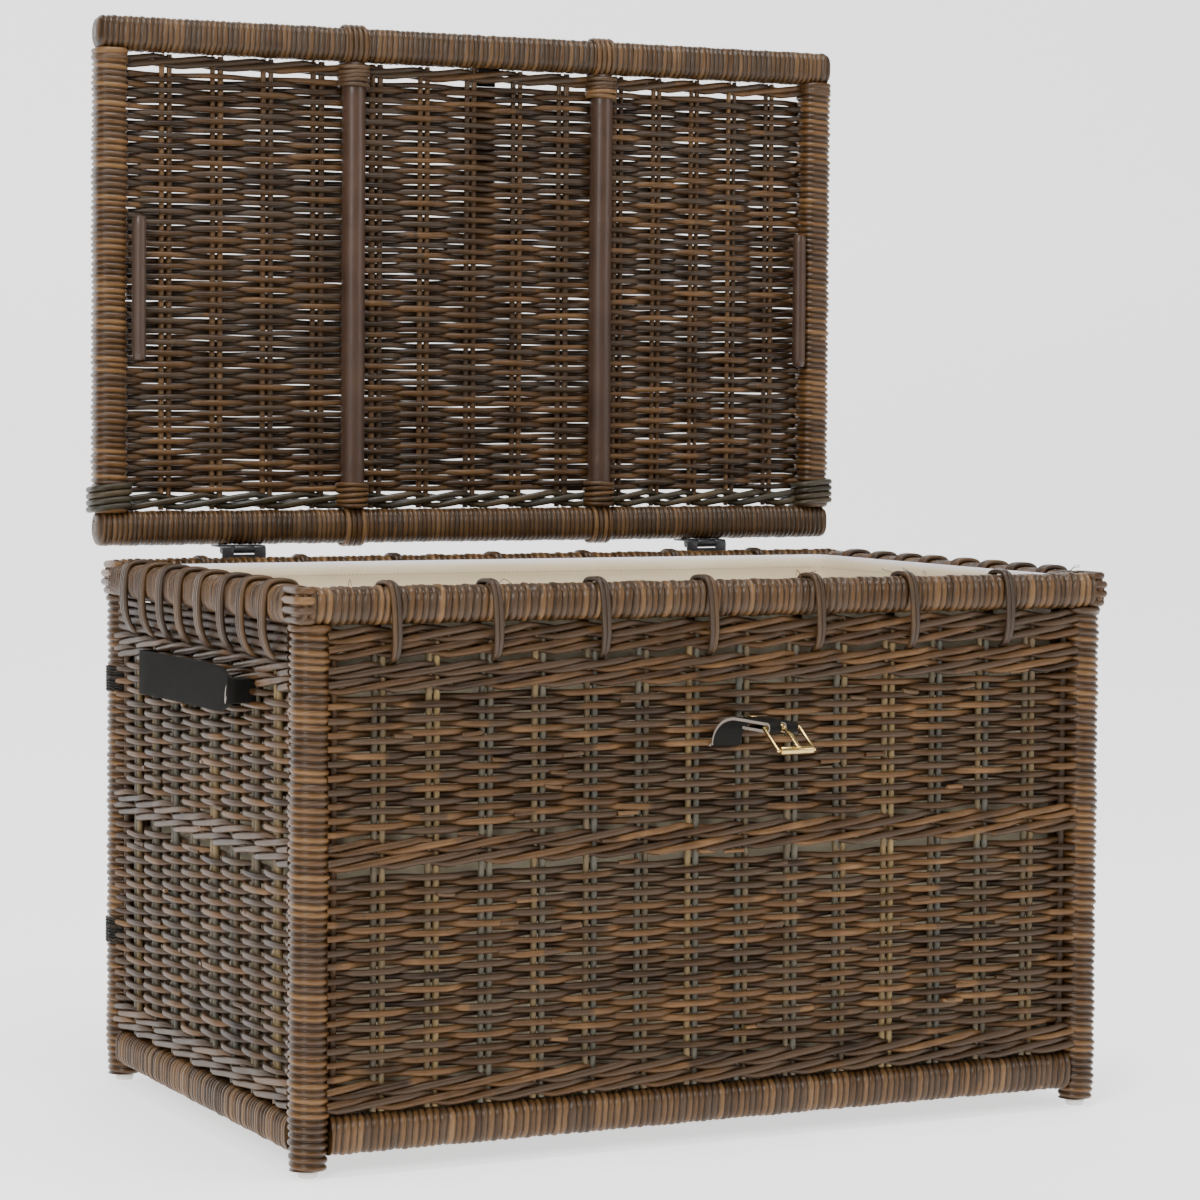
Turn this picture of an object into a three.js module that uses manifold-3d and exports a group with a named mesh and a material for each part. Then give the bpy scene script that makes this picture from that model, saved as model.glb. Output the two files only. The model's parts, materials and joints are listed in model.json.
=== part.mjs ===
// A rattan storage trunk with its lid standing open: four posts on glides, wrapped rails,
// woven walls, a woven lid on two butt hinges, a cotton liner, two leather handles and a
// leather strap with a roller buckle.
// Millimetres, +Z up, front towards -Y. The pieces are drawn round the middle of the body's
// footprint; the finished group is then moved along Y so that the origin is on the floor
// under the middle of all that the open trunk covers.

import * as THREE from "three";
import { mergeVertices } from "three/addons/utils/BufferGeometryUtils.js";
import Module from "manifold-3d";

// ---- driving dimensions ----

const BODY_WIDTH = 780; // over the posts, along X
const BODY_DEPTH = 502; // over the posts, along Y
const BODY_HEIGHT = 487; // floor to the top of the rim

const GAP = 0.3; // between pieces that touch
const SLIDE = 0.5; // between pieces that move past each other
const ROUND_STEPS = 6; // segments in a quarter turn of a rounded corner

// posts and glides
const POST_DIAMETER = 34;
const POST_FOOT_DIAMETER = 31; // at the very bottom, where the post tapers
const POST_TAPER = 26; // height of the tapered foot
const GLIDE_DIAMETER = 18;
const GLIDE_THICKNESS = 6;

// rim and bottom rails
const RIM_OVERHANG = 3; // how far the rim stands out past the posts
const RIM_WIDTH = 30;
const RIM_HEIGHT = 35;
const RIM_ROUND = 12;
const BOTTOM_RAIL_WIDTH = 28;
const BOTTOM_RAIL_HEIGHT = 34;
const BOTTOM_RAIL_LIFT = 17; // floor to the underside of the bottom rails
const BOTTOM_RAIL_INSET = 2; // from the outer face of the posts
const RAIL_ROUND = 12;

// woven walls and base
const STAKE_DIAMETER = 7;
const WEAVER_THICKNESS = 5.5;
const WALL_INSET = 3; // from the outer face of the posts to the woven surface
const BASE_THICKNESS = 12;
const BASE_BELOW_RAIL = 5; // from the top of the bottom rails down to the base
const BASE_BATTEN_DIAMETER = 20;
const BASE_BATTEN_FROM_END = 259; // from the outer face of the posts to its middle

// liner
const LINER_THICKNESS = 2;
const LINER_CLEARANCE = 3; // between the liner and the rim
const LINER_CORNER = 22;
const LINER_BELOW_RIM = 5;

// hinges
const HINGE_LENGTH = 44;
const HINGE_OUTER_KNUCKLE = 12; // length of each of the two outer knuckles
const HINGE_FROM_END = 145; // from the end of the rim to the middle of a hinge
const HINGE_KNUCKLE_RADIUS = 4;
const HINGE_PIN_RADIUS = 2;
const HINGE_PIN_PLAY = 0.35;
const HINGE_LEAF = 2;
const HINGE_LEAF_REACH = 27; // from the pin to the far edge of a leaf
const HINGE_ABOVE_RIM = 6; // height of the pin over the rim
const HINGE_SCREW_RADIUS = 1.6;
const HINGE_SCREW_HEAD = 3;
const HINGE_SCREW_SPACING = 26;

// lid
const LID_FRONT_INSET = 12; // how far the shut lid stays behind the front of the rim
const LID_SIDE_INSET = 0; // and behind each end of it
const LID_RAIL = 33; // height of the end rails and width of the side rails
const LID_THICKNESS = 32;
const LID_CLOSED_GAP = 3; // left above the rim when the lid is shut
const LID_EDGE_PLAY = 0.3; // between a hinge leaf and the edge that it is screwed to
const LID_BATTEN_DIAMETER = 24;
const LID_BATTEN_FROM_END = 260.5; // from the end of the lid to its middle
const LID_ROD_DIAMETER = 14;
const LID_ROD_LENGTH = 134;
const LID_ROD_CLEARANCE = 3; // from the rim's inner side when the lid is shut
const LID_ROD_FROM_HINGE = 242;

// leather handles at the two ends
const HANDLE_HEIGHT = 39;
const HANDLE_LENGTH = 240;
const HANDLE_THICKNESS = 3;
const HANDLE_STANDOFF = 14; // finger room between the strap and the wall
const HANDLE_BELOW_RIM = 95; // from the top of the rim to the middle of a handle
const HANDLE_CENTRE_Y = -12; // a little nearer the front
const HANDLE_BEND = 5;
const HANDLE_TAIL = 13; // how deep its ends reach into the wall
const HANDLE_SLOT_PLAY = 1.6;
const HANDLE_SLOT_HEADROOM = 4;

// leather strap and buckle on the front
const LATCH_X = 3;
const LATCH_BELOW_RIM = 144; // from the top of the rim to where the strap leaves the wall
const STRAP_WIDTH = 27;
const STRAP_THICKNESS = 2.6;
const LATCH_RISE = 26; // how far the strap climbs as it turns forwards
const LATCH_TURN = 44; // length along Y of that curve
const LATCH_REACH = 100; // from the wall to the heel bar
const LATCH_RETURN = 44; // length of the end that is folded back under
const LATCH_SLOT_PLAY = 1;
const BUCKLE_STRAP_PLAY = 2; // between an edge of the strap and a side of the buckle
const BUCKLE_LENGTH = 30;
const BUCKLE_BAR = 3; // diameter of the wire
const BUCKLE_TILT = 33; // degrees below level at rest
const ROLLER_DIAMETER = 6.6;
const TONGUE_WIDTH = 3.6;
const TONGUE_THICKNESS = 1.8;
const RIVET_HEAD_RADIUS = 4;
const RIVET_HEAD_THICKNESS = 1.2;

// leather strap on the lid
const LID_STRAP_X = 14;
const LID_STRAP_ROOT_BELOW_TOP = 7; // from the top of the rail to the root's upper end
const LID_STRAP_LENGTH = 165; // of the length with the holes; it ends above the front strap
const LID_STRAP_HOLES = 5;
const LID_STRAP_HOLE_DIAMETER = 4;
const LID_STRAP_HOLE_PITCH = 20;
const LID_STRAP_CLEARANCE = 5; // in front of the rim when the strap hangs down over it

// ---- places worked out from the driving dimensions ----

const halfWidth = BODY_WIDTH / 2;
const halfDepth = BODY_DEPTH / 2;
const postRadius = POST_DIAMETER / 2;
const postX = halfWidth - postRadius;
const postY = halfDepth - postRadius;
const rimBottom = BODY_HEIGHT - RIM_HEIGHT;
const rimOuterX = halfWidth + RIM_OVERHANG;
const rimOuterY = halfDepth + RIM_OVERHANG;
const rimInnerX = rimOuterX - RIM_WIDTH;
const rimInnerY = rimOuterY - RIM_WIDTH;
const railTop = BOTTOM_RAIL_LIFT + BOTTOM_RAIL_HEIGHT;
const railOuterX = halfWidth - BOTTOM_RAIL_INSET;
const railOuterY = halfDepth - BOTTOM_RAIL_INSET;
const railInnerX = railOuterX - BOTTOM_RAIL_WIDTH;
const railInnerY = railOuterY - BOTTOM_RAIL_WIDTH;
const wallThickness = STAKE_DIAMETER + 2 * WEAVER_THICKNESS;
const wallOuterX = halfWidth - WALL_INSET;
const wallOuterY = halfDepth - WALL_INSET;
const betweenPostsX = 2 * (postX - postRadius - GAP);
const betweenPostsY = 2 * (postY - postRadius - GAP);
const baseTop = railTop - BASE_BELOW_RAIL;
const baseBottom = baseTop - BASE_THICKNESS;
const pinY = rimOuterY + HINGE_KNUCKLE_RADIUS + SLIDE;
const pinZ = BODY_HEIGHT + HINGE_ABOVE_RIM;
const lidInnerY = pinY - HINGE_ABOVE_RIM + LID_CLOSED_GAP;
const lidOuterY = lidInnerY + LID_THICKNESS;
const lidMiddleY = (lidInnerY + lidOuterY) / 2;
const lidBottom = pinZ + HINGE_KNUCKLE_RADIUS + LID_EDGE_PLAY;
const lidTop = pinZ + pinY + rimOuterY - LID_FRONT_INSET;
const lidHalf = rimOuterX - LID_SIDE_INSET;
const handleZ = BODY_HEIGHT - HANDLE_BELOW_RIM;
const latchZ = BODY_HEIGHT - LATCH_BELOW_RIM;
const buckleInnerWidth = STRAP_WIDTH + 2 * BUCKLE_STRAP_PLAY;

// ---- materials ----

function material(color, roughness, metalness = 0) {
  return new THREE.MeshStandardMaterial({ color, roughness, metalness });
}

const rattan = material(0x6b4a30, 0.55);
const wrap = material(0x7a5233, 0.5);
const pole = material(0x3e2a22, 0.4);
const cotton = material(0xd8cbb0, 0.95);
const leather = material(0x24241f, 0.6);
const brass = material(0xc0a860, 0.3, 1);
const blackMetal = material(0x17171a, 0.4, 0.8);
const whitePlastic = material(0xdcdcd6, 0.5);

// ---- solids ----

const wasm = await Module();
wasm.setup();

function solid(geometry) {
  const bare = geometry.clone();
  bare.deleteAttribute("normal");
  bare.deleteAttribute("uv");
  const merged = mergeVertices(bare, 1e-4);
  return new wasm.Manifold(
    new wasm.Mesh({
      numProp: 3,
      vertProperties: merged.attributes.position.array,
      triVerts: new Uint32Array(merged.index.array),
    }),
  );
}

function geometryOf(made) {
  const mesh = made.getMesh();
  const geometry = new THREE.BufferGeometry();
  geometry.setAttribute("position", new THREE.BufferAttribute(mesh.vertProperties, 3));
  geometry.setIndex(new THREE.BufferAttribute(mesh.triVerts, 1));
  return geometry;
}

function box(x0, x1, y0, y1, z0, z1) {
  const geometry = new THREE.BoxGeometry(x1 - x0, y1 - y0, z1 - z0);
  return geometry.translate((x0 + x1) / 2, (y0 + y1) / 2, (z0 + z1) / 2);
}

// A rectangle with rounded corners, centred on (cx, cy).
function roundedOutline(width, height, round, cx = 0, cy = 0) {
  const r = Math.min(round, width / 2 - 0.01, height / 2 - 0.01);
  const x = width / 2 - r;
  const y = height / 2 - r;
  const outline = new THREE.Shape();
  outline.absarc(cx + x, cy + y, r, 0, Math.PI / 2);
  outline.absarc(cx - x, cy + y, r, Math.PI / 2, Math.PI);
  outline.absarc(cx - x, cy - y, r, Math.PI, 1.5 * Math.PI);
  outline.absarc(cx + x, cy - y, r, 1.5 * Math.PI, 2 * Math.PI);
  return outline;
}

function extrude(outline, depth) {
  return new THREE.ExtrudeGeometry(outline, { depth, bevelEnabled: false, curveSegments: ROUND_STEPS });
}

// An outline drawn in (y, z), pushed along X from x0 to x1.
function alongX(outline, x0, x1) {
  const geometry = extrude(outline, x1 - x0);
  const turn = new THREE.Matrix4().makeBasis(
    new THREE.Vector3(0, 1, 0),
    new THREE.Vector3(0, 0, 1),
    new THREE.Vector3(1, 0, 0),
  );
  return geometry.applyMatrix4(turn).translate(x0, 0, 0);
}

// An outline drawn in (x, z), pushed along Y from y0 to y1.
function alongY(outline, y0, y1) {
  return extrude(outline, y1 - y0).rotateX(Math.PI / 2).translate(0, y1, 0);
}

// An outline drawn in (x, y), pushed up Z from z0 to z1.
function alongZ(outline, z0, z1) {
  return extrude(outline, z1 - z0).translate(0, 0, z0);
}

function rodAlongX(radius, x0, x1, y, z, sides = 20) {
  const geometry = new THREE.CylinderGeometry(radius, radius, x1 - x0, sides);
  return geometry.rotateZ(Math.PI / 2).translate((x0 + x1) / 2, y, z);
}

function rodAlongY(radius, y0, y1, x, z, sides = 20) {
  return new THREE.CylinderGeometry(radius, radius, y1 - y0, sides).translate(x, (y0 + y1) / 2, z);
}

function rodAlongZ(radius, z0, z1, x, y, sides = 20) {
  const geometry = new THREE.CylinderGeometry(radius, radius, z1 - z0, sides);
  return geometry.rotateX(Math.PI / 2).translate(x, y, (z0 + z1) / 2);
}

// A band of even thickness that follows points in a plane, as a closed outline.
function bandOutline(points, thickness) {
  const left = [];
  const right = [];
  points.forEach((point, i) => {
    const before = points[Math.max(i - 1, 0)];
    const after = points[Math.min(i + 1, points.length - 1)];
    const run = new THREE.Vector2().subVectors(after, before).normalize();
    const side = new THREE.Vector2(-run.y, run.x).multiplyScalar(thickness / 2);
    left.push(point.clone().add(side));
    right.push(point.clone().sub(side));
  });
  return new THREE.Shape([...left, ...right.reverse()]);
}

// Points of an arc round (cx, cy), angles in degrees.
function arc(cx, cy, radius, from, to, steps) {
  const points = [];
  for (let i = 0; i <= steps; i++) {
    const angle = THREE.MathUtils.degToRad(from + ((to - from) * i) / steps);
    points.push(new THREE.Vector2(cx + radius * Math.cos(angle), cy + radius * Math.sin(angle)));
  }
  return points;
}

const trunk = new THREE.Group();

function add(name, geometry, look, parent = trunk) {
  const mesh = new THREE.Mesh(geometry, look.clone());
  mesh.name = name;
  parent.add(mesh);
  return mesh;
}

const corners = [
  { name: "front_left", sx: -1, sy: -1 },
  { name: "front_right", sx: 1, sy: -1 },
  { name: "back_left", sx: -1, sy: 1 },
  { name: "back_right", sx: 1, sy: 1 },
];
const ends = [
  { name: "left", side: -1 },
  { name: "right", side: 1 },
];
const faces = [
  { name: "front", side: -1 },
  { name: "back", side: 1 },
];

// ---- body ----

// A post stands on its glide and ends under the rim; its foot tapers.
function post() {
  const foot = POST_FOOT_DIAMETER / 2;
  const bottom = GLIDE_THICKNESS + GAP;
  const profile = [
    new THREE.Vector2(0, bottom),
    new THREE.Vector2(foot, bottom),
    new THREE.Vector2(postRadius, bottom + POST_TAPER),
    new THREE.Vector2(postRadius, rimBottom - GAP),
    new THREE.Vector2(0, rimBottom - GAP),
  ];
  return new THREE.LatheGeometry(profile, 24).rotateX(Math.PI / 2);
}

function glide() {
  const radius = GLIDE_DIAMETER / 2;
  return new THREE.CylinderGeometry(radius, radius - 1.5, GLIDE_THICKNESS, 24)
    .rotateX(Math.PI / 2)
    .translate(0, 0, GLIDE_THICKNESS / 2);
}

for (const { name, sx, sy } of corners) {
  add(`post_${name}`, post(), rattan).position.set(sx * postX, sy * postY, 0);
  add(`glide_${name}`, glide(), whitePlastic).position.set(sx * postX, sy * postY, 0);
}

// The front and back rim rails run the full width; the end rails fit between them.
for (const { name, side } of faces) {
  const middle = side * (rimOuterY - RIM_WIDTH / 2);
  const section = roundedOutline(RIM_WIDTH, RIM_HEIGHT, RIM_ROUND, middle, BODY_HEIGHT - RIM_HEIGHT / 2);
  add(`rim_${name}`, alongX(section, -rimOuterX, rimOuterX), wrap);
}
for (const { name, side } of ends) {
  const middle = side * (rimOuterX - RIM_WIDTH / 2);
  const section = roundedOutline(RIM_WIDTH, RIM_HEIGHT, RIM_ROUND, middle, BODY_HEIGHT - RIM_HEIGHT / 2);
  add(`rim_${name}`, alongY(section, -rimInnerY + GAP, rimInnerY - GAP), wrap);
}

// The bottom rails run from post to post.
for (const { name, side } of faces) {
  const middle = side * (railOuterY - BOTTOM_RAIL_WIDTH / 2);
  const height = BOTTOM_RAIL_LIFT + BOTTOM_RAIL_HEIGHT / 2;
  const section = roundedOutline(BOTTOM_RAIL_WIDTH, BOTTOM_RAIL_HEIGHT, RAIL_ROUND, middle, height);
  add(`bottom_rail_${name}`, alongX(section, -betweenPostsX / 2, betweenPostsX / 2), wrap);
}
for (const { name, side } of ends) {
  const middle = side * (railOuterX - BOTTOM_RAIL_WIDTH / 2);
  const height = BOTTOM_RAIL_LIFT + BOTTOM_RAIL_HEIGHT / 2;
  const section = roundedOutline(BOTTOM_RAIL_WIDTH, BOTTOM_RAIL_HEIGHT, RAIL_ROUND, middle, height);
  add(`bottom_rail_${name}`, alongY(section, -betweenPostsY / 2, betweenPostsY / 2), wrap);
}

const wallBottom = railTop + GAP;
const wallTop = rimBottom - GAP;

// The slot that the front strap comes through.
function latchSlot() {
  const half = STRAP_WIDTH / 2 + LATCH_SLOT_PLAY;
  const rise = STRAP_THICKNESS / 2 + LATCH_SLOT_PLAY;
  const outer = -wallOuterY;
  const inner = outer + wallThickness;
  return box(LATCH_X - half, LATCH_X + half, outer - 1, inner + 1, latchZ - rise, latchZ + rise);
}

// The two slots that the ends of a handle go into.
function handleSlots(side) {
  const half = HANDLE_HEIGHT / 2 + HANDLE_SLOT_HEADROOM;
  const outer = side * wallOuterX;
  const inner = side * (wallOuterX - wallThickness);
  return [-1, 1].map((end) => {
    const middle = HANDLE_CENTRE_Y + (end * (HANDLE_LENGTH - HANDLE_THICKNESS)) / 2;
    const play = HANDLE_THICKNESS / 2 + HANDLE_SLOT_PLAY;
    return box(
      Math.min(outer, inner) - 1,
      Math.max(outer, inner) + 1,
      middle - play,
      middle + play,
      handleZ - half,
      handleZ + half,
    );
  });
}

for (const { name, side } of faces) {
  const half = betweenPostsX / 2;
  const outer = side * wallOuterY;
  const inner = side * (wallOuterY - wallThickness);
  let wall = solid(box(-half, half, Math.min(outer, inner), Math.max(outer, inner), wallBottom, wallTop));
  if (name === "front") wall = wall.subtract(solid(latchSlot()));
  add(`woven_wall_${name}`, geometryOf(wall), rattan);
}
for (const { name, side } of ends) {
  const half = betweenPostsY / 2;
  const outer = side * wallOuterX;
  const inner = side * (wallOuterX - wallThickness);
  let wall = solid(box(Math.min(outer, inner), Math.max(outer, inner), -half, half, wallBottom, wallTop));
  for (const slot of handleSlots(side)) wall = wall.subtract(solid(slot));
  add(`woven_wall_${name}`, geometryOf(wall), rattan);
}

// The woven base lies inside the bottom rails, over two battens.
function base() {
  const x = railInnerX - GAP;
  const y = railInnerY - GAP;
  let panel = solid(box(-x, x, -y, y, baseBottom, baseTop));
  for (const { sx, sy } of corners) {
    const notch = rodAlongZ(postRadius + GAP, baseBottom - 1, baseTop + 1, sx * postX, sy * postY, 24);
    panel = panel.subtract(solid(notch));
  }
  return geometryOf(panel);
}
add("base_panel", base(), rattan);

for (const { name, side } of ends) {
  const radius = BASE_BATTEN_DIAMETER / 2;
  const x = side * (halfWidth - BASE_BATTEN_FROM_END);
  const reach = railInnerY - GAP;
  add(`base_batten_${name}`, rodAlongY(radius, -reach, reach, x, baseBottom - radius - GAP), pole);
}

// The liner is a cotton box, open at the top, that hangs inside the rim.
function liner() {
  const x = rimInnerX - LINER_CLEARANCE;
  const y = rimInnerY - LINER_CLEARANCE;
  const bottom = baseTop + SLIDE;
  const top = BODY_HEIGHT - LINER_BELOW_RIM;
  const outer = solid(alongZ(roundedOutline(2 * x, 2 * y, LINER_CORNER), bottom, top));
  const width = 2 * (x - LINER_THICKNESS);
  const depth = 2 * (y - LINER_THICKNESS);
  const hollow = roundedOutline(width, depth, LINER_CORNER - LINER_THICKNESS);
  return geometryOf(outer.subtract(solid(alongZ(hollow, bottom + LINER_THICKNESS, top + 1))));
}
add("liner", liner(), cotton);

// ---- leather handles ----

// The strap stands off the wall and its two ends turn into the slots.
function handle(side) {
  const face = wallOuterX + HANDLE_STANDOFF + HANDLE_THICKNESS / 2;
  const half = (HANDLE_LENGTH - HANDLE_THICKNESS) / 2;
  const tail = wallOuterX - HANDLE_TAIL;
  const cornerX = face - HANDLE_BEND;
  const cornerY = half - HANDLE_BEND;
  const path = [
    new THREE.Vector2(tail, -half),
    ...arc(cornerX, -cornerY, HANDLE_BEND, -90, 0, 5),
    ...arc(cornerX, cornerY, HANDLE_BEND, 0, 90, 5),
    new THREE.Vector2(tail, half),
  ];
  const placed = path.map((p) => new THREE.Vector2(side * p.x, p.y + HANDLE_CENTRE_Y));
  if (side < 0) placed.reverse();
  const outline = bandOutline(placed, HANDLE_THICKNESS);
  return alongZ(outline, handleZ - HANDLE_HEIGHT / 2, handleZ + HANDLE_HEIGHT / 2);
}
for (const { name, side } of ends) add(`handle_${name}`, handle(side), leather);

// ---- hinges ----

function knuckle(x0, x1) {
  return solid(rodAlongX(HINGE_KNUCKLE_RADIUS, x0, x1, pinY, pinZ, 24));
}

function pinBore(x0, x1) {
  return solid(rodAlongX(HINGE_PIN_RADIUS + HINGE_PIN_PLAY, x0 - 1, x1 + 1, pinY, pinZ, 24));
}

// Places of the screws along X, from the middle of a hinge.
const screwOffsets = [-HINGE_SCREW_SPACING / 2, HINGE_SCREW_SPACING / 2];
const screwReach = (HINGE_KNUCKLE_RADIUS + HINGE_LEAF_REACH) / 2;

// The lower leaf lies on the back of the rim and carries the two outer knuckles.
function bodyLeaf(x) {
  const half = HINGE_LENGTH / 2;
  const share = HINGE_OUTER_KNUCKLE;
  const near = rimOuterY + GAP;
  const cut = half - share + SLIDE;
  const far = near + HINGE_LEAF;
  let leaf = solid(box(x - half, x + half, near, far, pinZ - HINGE_LEAF_REACH, pinZ));
  const room = HINGE_KNUCKLE_RADIUS + SLIDE;
  leaf = leaf.subtract(solid(box(x - cut, x + cut, near - 1, far + 1, pinZ - room, pinZ + 1)));
  leaf = leaf.add(knuckle(x - half, x - half + share)).add(knuckle(x + half - share, x + half));
  leaf = leaf.subtract(pinBore(x - half, x + half));
  for (const offset of screwOffsets) {
    const radius = HINGE_SCREW_RADIUS + GAP;
    const hole = rodAlongY(radius, near - 1, far + 1, x + offset, pinZ - screwReach, 16);
    leaf = leaf.subtract(solid(hole));
  }
  return geometryOf(leaf);
}

// The upper leaf lies along the hinged edge of the lid and carries the middle knuckle.
function lidLeaf(x) {
  const half = HINGE_LENGTH / 2;
  const middle = half - HINGE_OUTER_KNUCKLE - SLIDE;
  const top = lidBottom - GAP;
  const bottom = top - HINGE_LEAF;
  let leaf = solid(box(x - half, x + half, pinY, pinY + HINGE_LEAF_REACH, bottom, top));
  const room = HINGE_KNUCKLE_RADIUS + SLIDE;
  for (const side of [-1, 1]) {
    const x0 = x + side * middle;
    const x1 = x + side * (half + 1);
    const clear = box(Math.min(x0, x1), Math.max(x0, x1), pinY - 1, pinY + room, bottom - 1, top + 1);
    leaf = leaf.subtract(solid(clear));
  }
  leaf = leaf.add(knuckle(x - middle, x + middle)).subtract(pinBore(x - middle, x + middle));
  for (const offset of screwOffsets) {
    const radius = HINGE_SCREW_RADIUS + GAP;
    const hole = rodAlongZ(radius, bottom - 1, top + 1, x + offset, pinY + screwReach, 16);
    leaf = leaf.subtract(solid(hole));
  }
  return geometryOf(leaf);
}

// A hinge screw: its shank fills the leaf's hole and its round head lies outside.
function screw() {
  const profile = [
    new THREE.Vector2(0, 0),
    new THREE.Vector2(HINGE_SCREW_RADIUS, 0),
    new THREE.Vector2(HINGE_SCREW_RADIUS, HINGE_LEAF + GAP),
    new THREE.Vector2(HINGE_SCREW_HEAD, HINGE_LEAF + GAP),
    new THREE.Vector2(HINGE_SCREW_HEAD * 0.6, HINGE_LEAF + GAP + 1.4),
    new THREE.Vector2(0, HINGE_LEAF + GAP + 1.6),
  ];
  return new THREE.LatheGeometry(profile, 14);
}

for (const { name, side } of ends) {
  const x = side * (rimOuterX - HINGE_FROM_END);
  const half = HINGE_LENGTH / 2;
  add(`hinge_leaf_body_${name}`, bodyLeaf(x), blackMetal);
  add(`hinge_leaf_lid_${name}`, lidLeaf(x), blackMetal);
  add(`hinge_pin_${name}`, rodAlongX(HINGE_PIN_RADIUS, x - half, x + half, pinY, pinZ, 16), blackMetal);
  screwOffsets.forEach((offset, i) => {
    const onBody = add(`screw_body_${name}_${i + 1}`, screw(), blackMetal);
    onBody.position.set(x + offset, rimOuterY + GAP, pinZ - screwReach);
    const onLid = add(`screw_lid_${name}_${i + 1}`, screw(), blackMetal);
    onLid.rotation.x = -Math.PI / 2;
    onLid.position.set(x + offset, pinY + screwReach, lidBottom - GAP);
  });
}

// ---- lid ----

// The hinged rail and the front rail run the full width; the side rails fit between them.
function lidEndRail(middle) {
  const section = roundedOutline(LID_THICKNESS, LID_RAIL, RAIL_ROUND, lidMiddleY, middle);
  return alongX(section, -lidHalf, lidHalf);
}
add("lid_rail_back", lidEndRail(lidBottom + LID_RAIL / 2), wrap);
add("lid_rail_front", lidEndRail(lidTop - LID_RAIL / 2), wrap);

for (const { name, side } of ends) {
  const middle = side * (lidHalf - LID_RAIL / 2);
  const section = roundedOutline(LID_RAIL, LID_THICKNESS, RAIL_ROUND, middle, lidMiddleY);
  add(`lid_rail_${name}`, alongZ(section, lidBottom + LID_RAIL + GAP, lidTop - LID_RAIL - GAP), rattan);
}

// The weave of the lid lies towards its outer face; the battens stand in front of it.
const lidWeaveOuterY = lidOuterY - WALL_INSET / 2;
const lidWeaveInnerY = lidWeaveOuterY - wallThickness;
const lidPanelHalf = lidHalf - LID_RAIL - GAP;
const lidPanelBottom = lidBottom + LID_RAIL + GAP;
const lidPanelTop = lidTop - LID_RAIL - GAP;
const battenRadius = LID_BATTEN_DIAMETER / 2;
const battenY = lidInnerY + battenRadius;

function lidPanel() {
  const plate = box(-lidPanelHalf, lidPanelHalf, lidWeaveInnerY, lidWeaveOuterY, lidPanelBottom, lidPanelTop);
  let panel = solid(plate);
  for (const { side } of ends) {
    const x = side * (lidHalf - LID_BATTEN_FROM_END);
    const groove = rodAlongZ(battenRadius + GAP, lidPanelBottom - 1, lidPanelTop + 1, x, battenY, 28);
    panel = panel.subtract(solid(groove));
  }
  const half = STRAP_WIDTH / 2 + LATCH_SLOT_PLAY;
  const notch = STRAP_THICKNESS + 2 * GAP + LATCH_SLOT_PLAY;
  const room = box(
    LID_STRAP_X - half,
    LID_STRAP_X + half,
    lidWeaveInnerY - 1,
    lidWeaveOuterY + 1,
    lidPanelTop - notch,
    lidPanelTop + 1,
  );
  return geometryOf(panel.subtract(solid(room)));
}
add("lid_woven_panel", lidPanel(), rattan);

for (const { name, side } of ends) {
  const x = side * (lidHalf - LID_BATTEN_FROM_END);
  add(`lid_batten_${name}`, rodAlongZ(battenRadius, lidPanelBottom, lidPanelTop, x, battenY, 24), pole);
}

// Two short rods on the underside drop inside the rim and keep the shut lid in place.
const rodRadius = LID_ROD_DIAMETER / 2;
const rodX = Math.min(rimInnerX - LID_ROD_CLEARANCE, lidHalf - LID_RAIL - GAP) - rodRadius;

for (const { name, side } of ends) {
  const z0 = lidBottom + LID_ROD_FROM_HINGE - LID_ROD_LENGTH / 2;
  add(`lid_rod_${name}`, rodAlongZ(rodRadius, z0, z0 + LID_ROD_LENGTH, side * rodX, lidInnerY), pole);
}

// ---- leather strap and roller buckle on the front ----

const strapX0 = LATCH_X - STRAP_WIDTH / 2;
const strapX1 = LATCH_X + STRAP_WIDTH / 2;
const barRadius = BUCKLE_BAR / 2;
const heelWrap = barRadius + GAP + STRAP_THICKNESS / 2;
const heelY = -wallOuterY - LATCH_REACH;
const heelZ = latchZ + LATCH_RISE - heelWrap;
const tilt = THREE.MathUtils.degToRad(BUCKLE_TILT);

// The tail of the strap, held in the wall.
const tail = box(
  strapX0,
  strapX1,
  -wallOuterY,
  -wallOuterY + wallThickness,
  latchZ - STRAP_THICKNESS / 2,
  latchZ + STRAP_THICKNESS / 2,
);
add("latch_strap_tail", tail, leather);

// The free part starts in front of the wall at the strap's pivot, climbs in a quarter of
// an ellipse, runs forwards, turns round the heel bar and is folded back underneath.
// A slot in the fold lets the tongue through.
const strapPivotY = -wallOuterY - SLIDE - STRAP_THICKNESS / 2;

function latchStrap() {
  const levelY = strapPivotY - LATCH_TURN;
  const climb = new THREE.EllipseCurve(levelY, latchZ, LATCH_TURN, LATCH_RISE, 0, Math.PI / 2);
  const path = [
    ...climb.getPoints(10),
    ...arc(heelY, heelZ, heelWrap, 90, 270, 10),
    new THREE.Vector2(heelY + LATCH_RETURN, heelZ - heelWrap),
  ];
  const strap = solid(alongX(bandOutline(path, STRAP_THICKNESS), strapX0, strapX1));
  const slot = TONGUE_WIDTH / 2 + SLIDE;
  const reach = heelWrap + STRAP_THICKNESS;
  const x0 = LATCH_X - slot;
  const x1 = LATCH_X + slot;
  const gap = box(x0, x1, heelY - reach, heelY + reach, heelZ - reach, heelZ + reach);
  return geometryOf(strap.subtract(solid(gap)));
}
add("latch_strap", latchStrap(), leather);

// The buckle parts are drawn level, pointing forwards from the heel bar, then tilted down.
const buckle = new THREE.Group();
buckle.position.set(LATCH_X, heelY, heelZ);
buckle.rotation.x = tilt;
trunk.add(buckle);

const sideBarX = buckleInnerWidth / 2 + barRadius;

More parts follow.
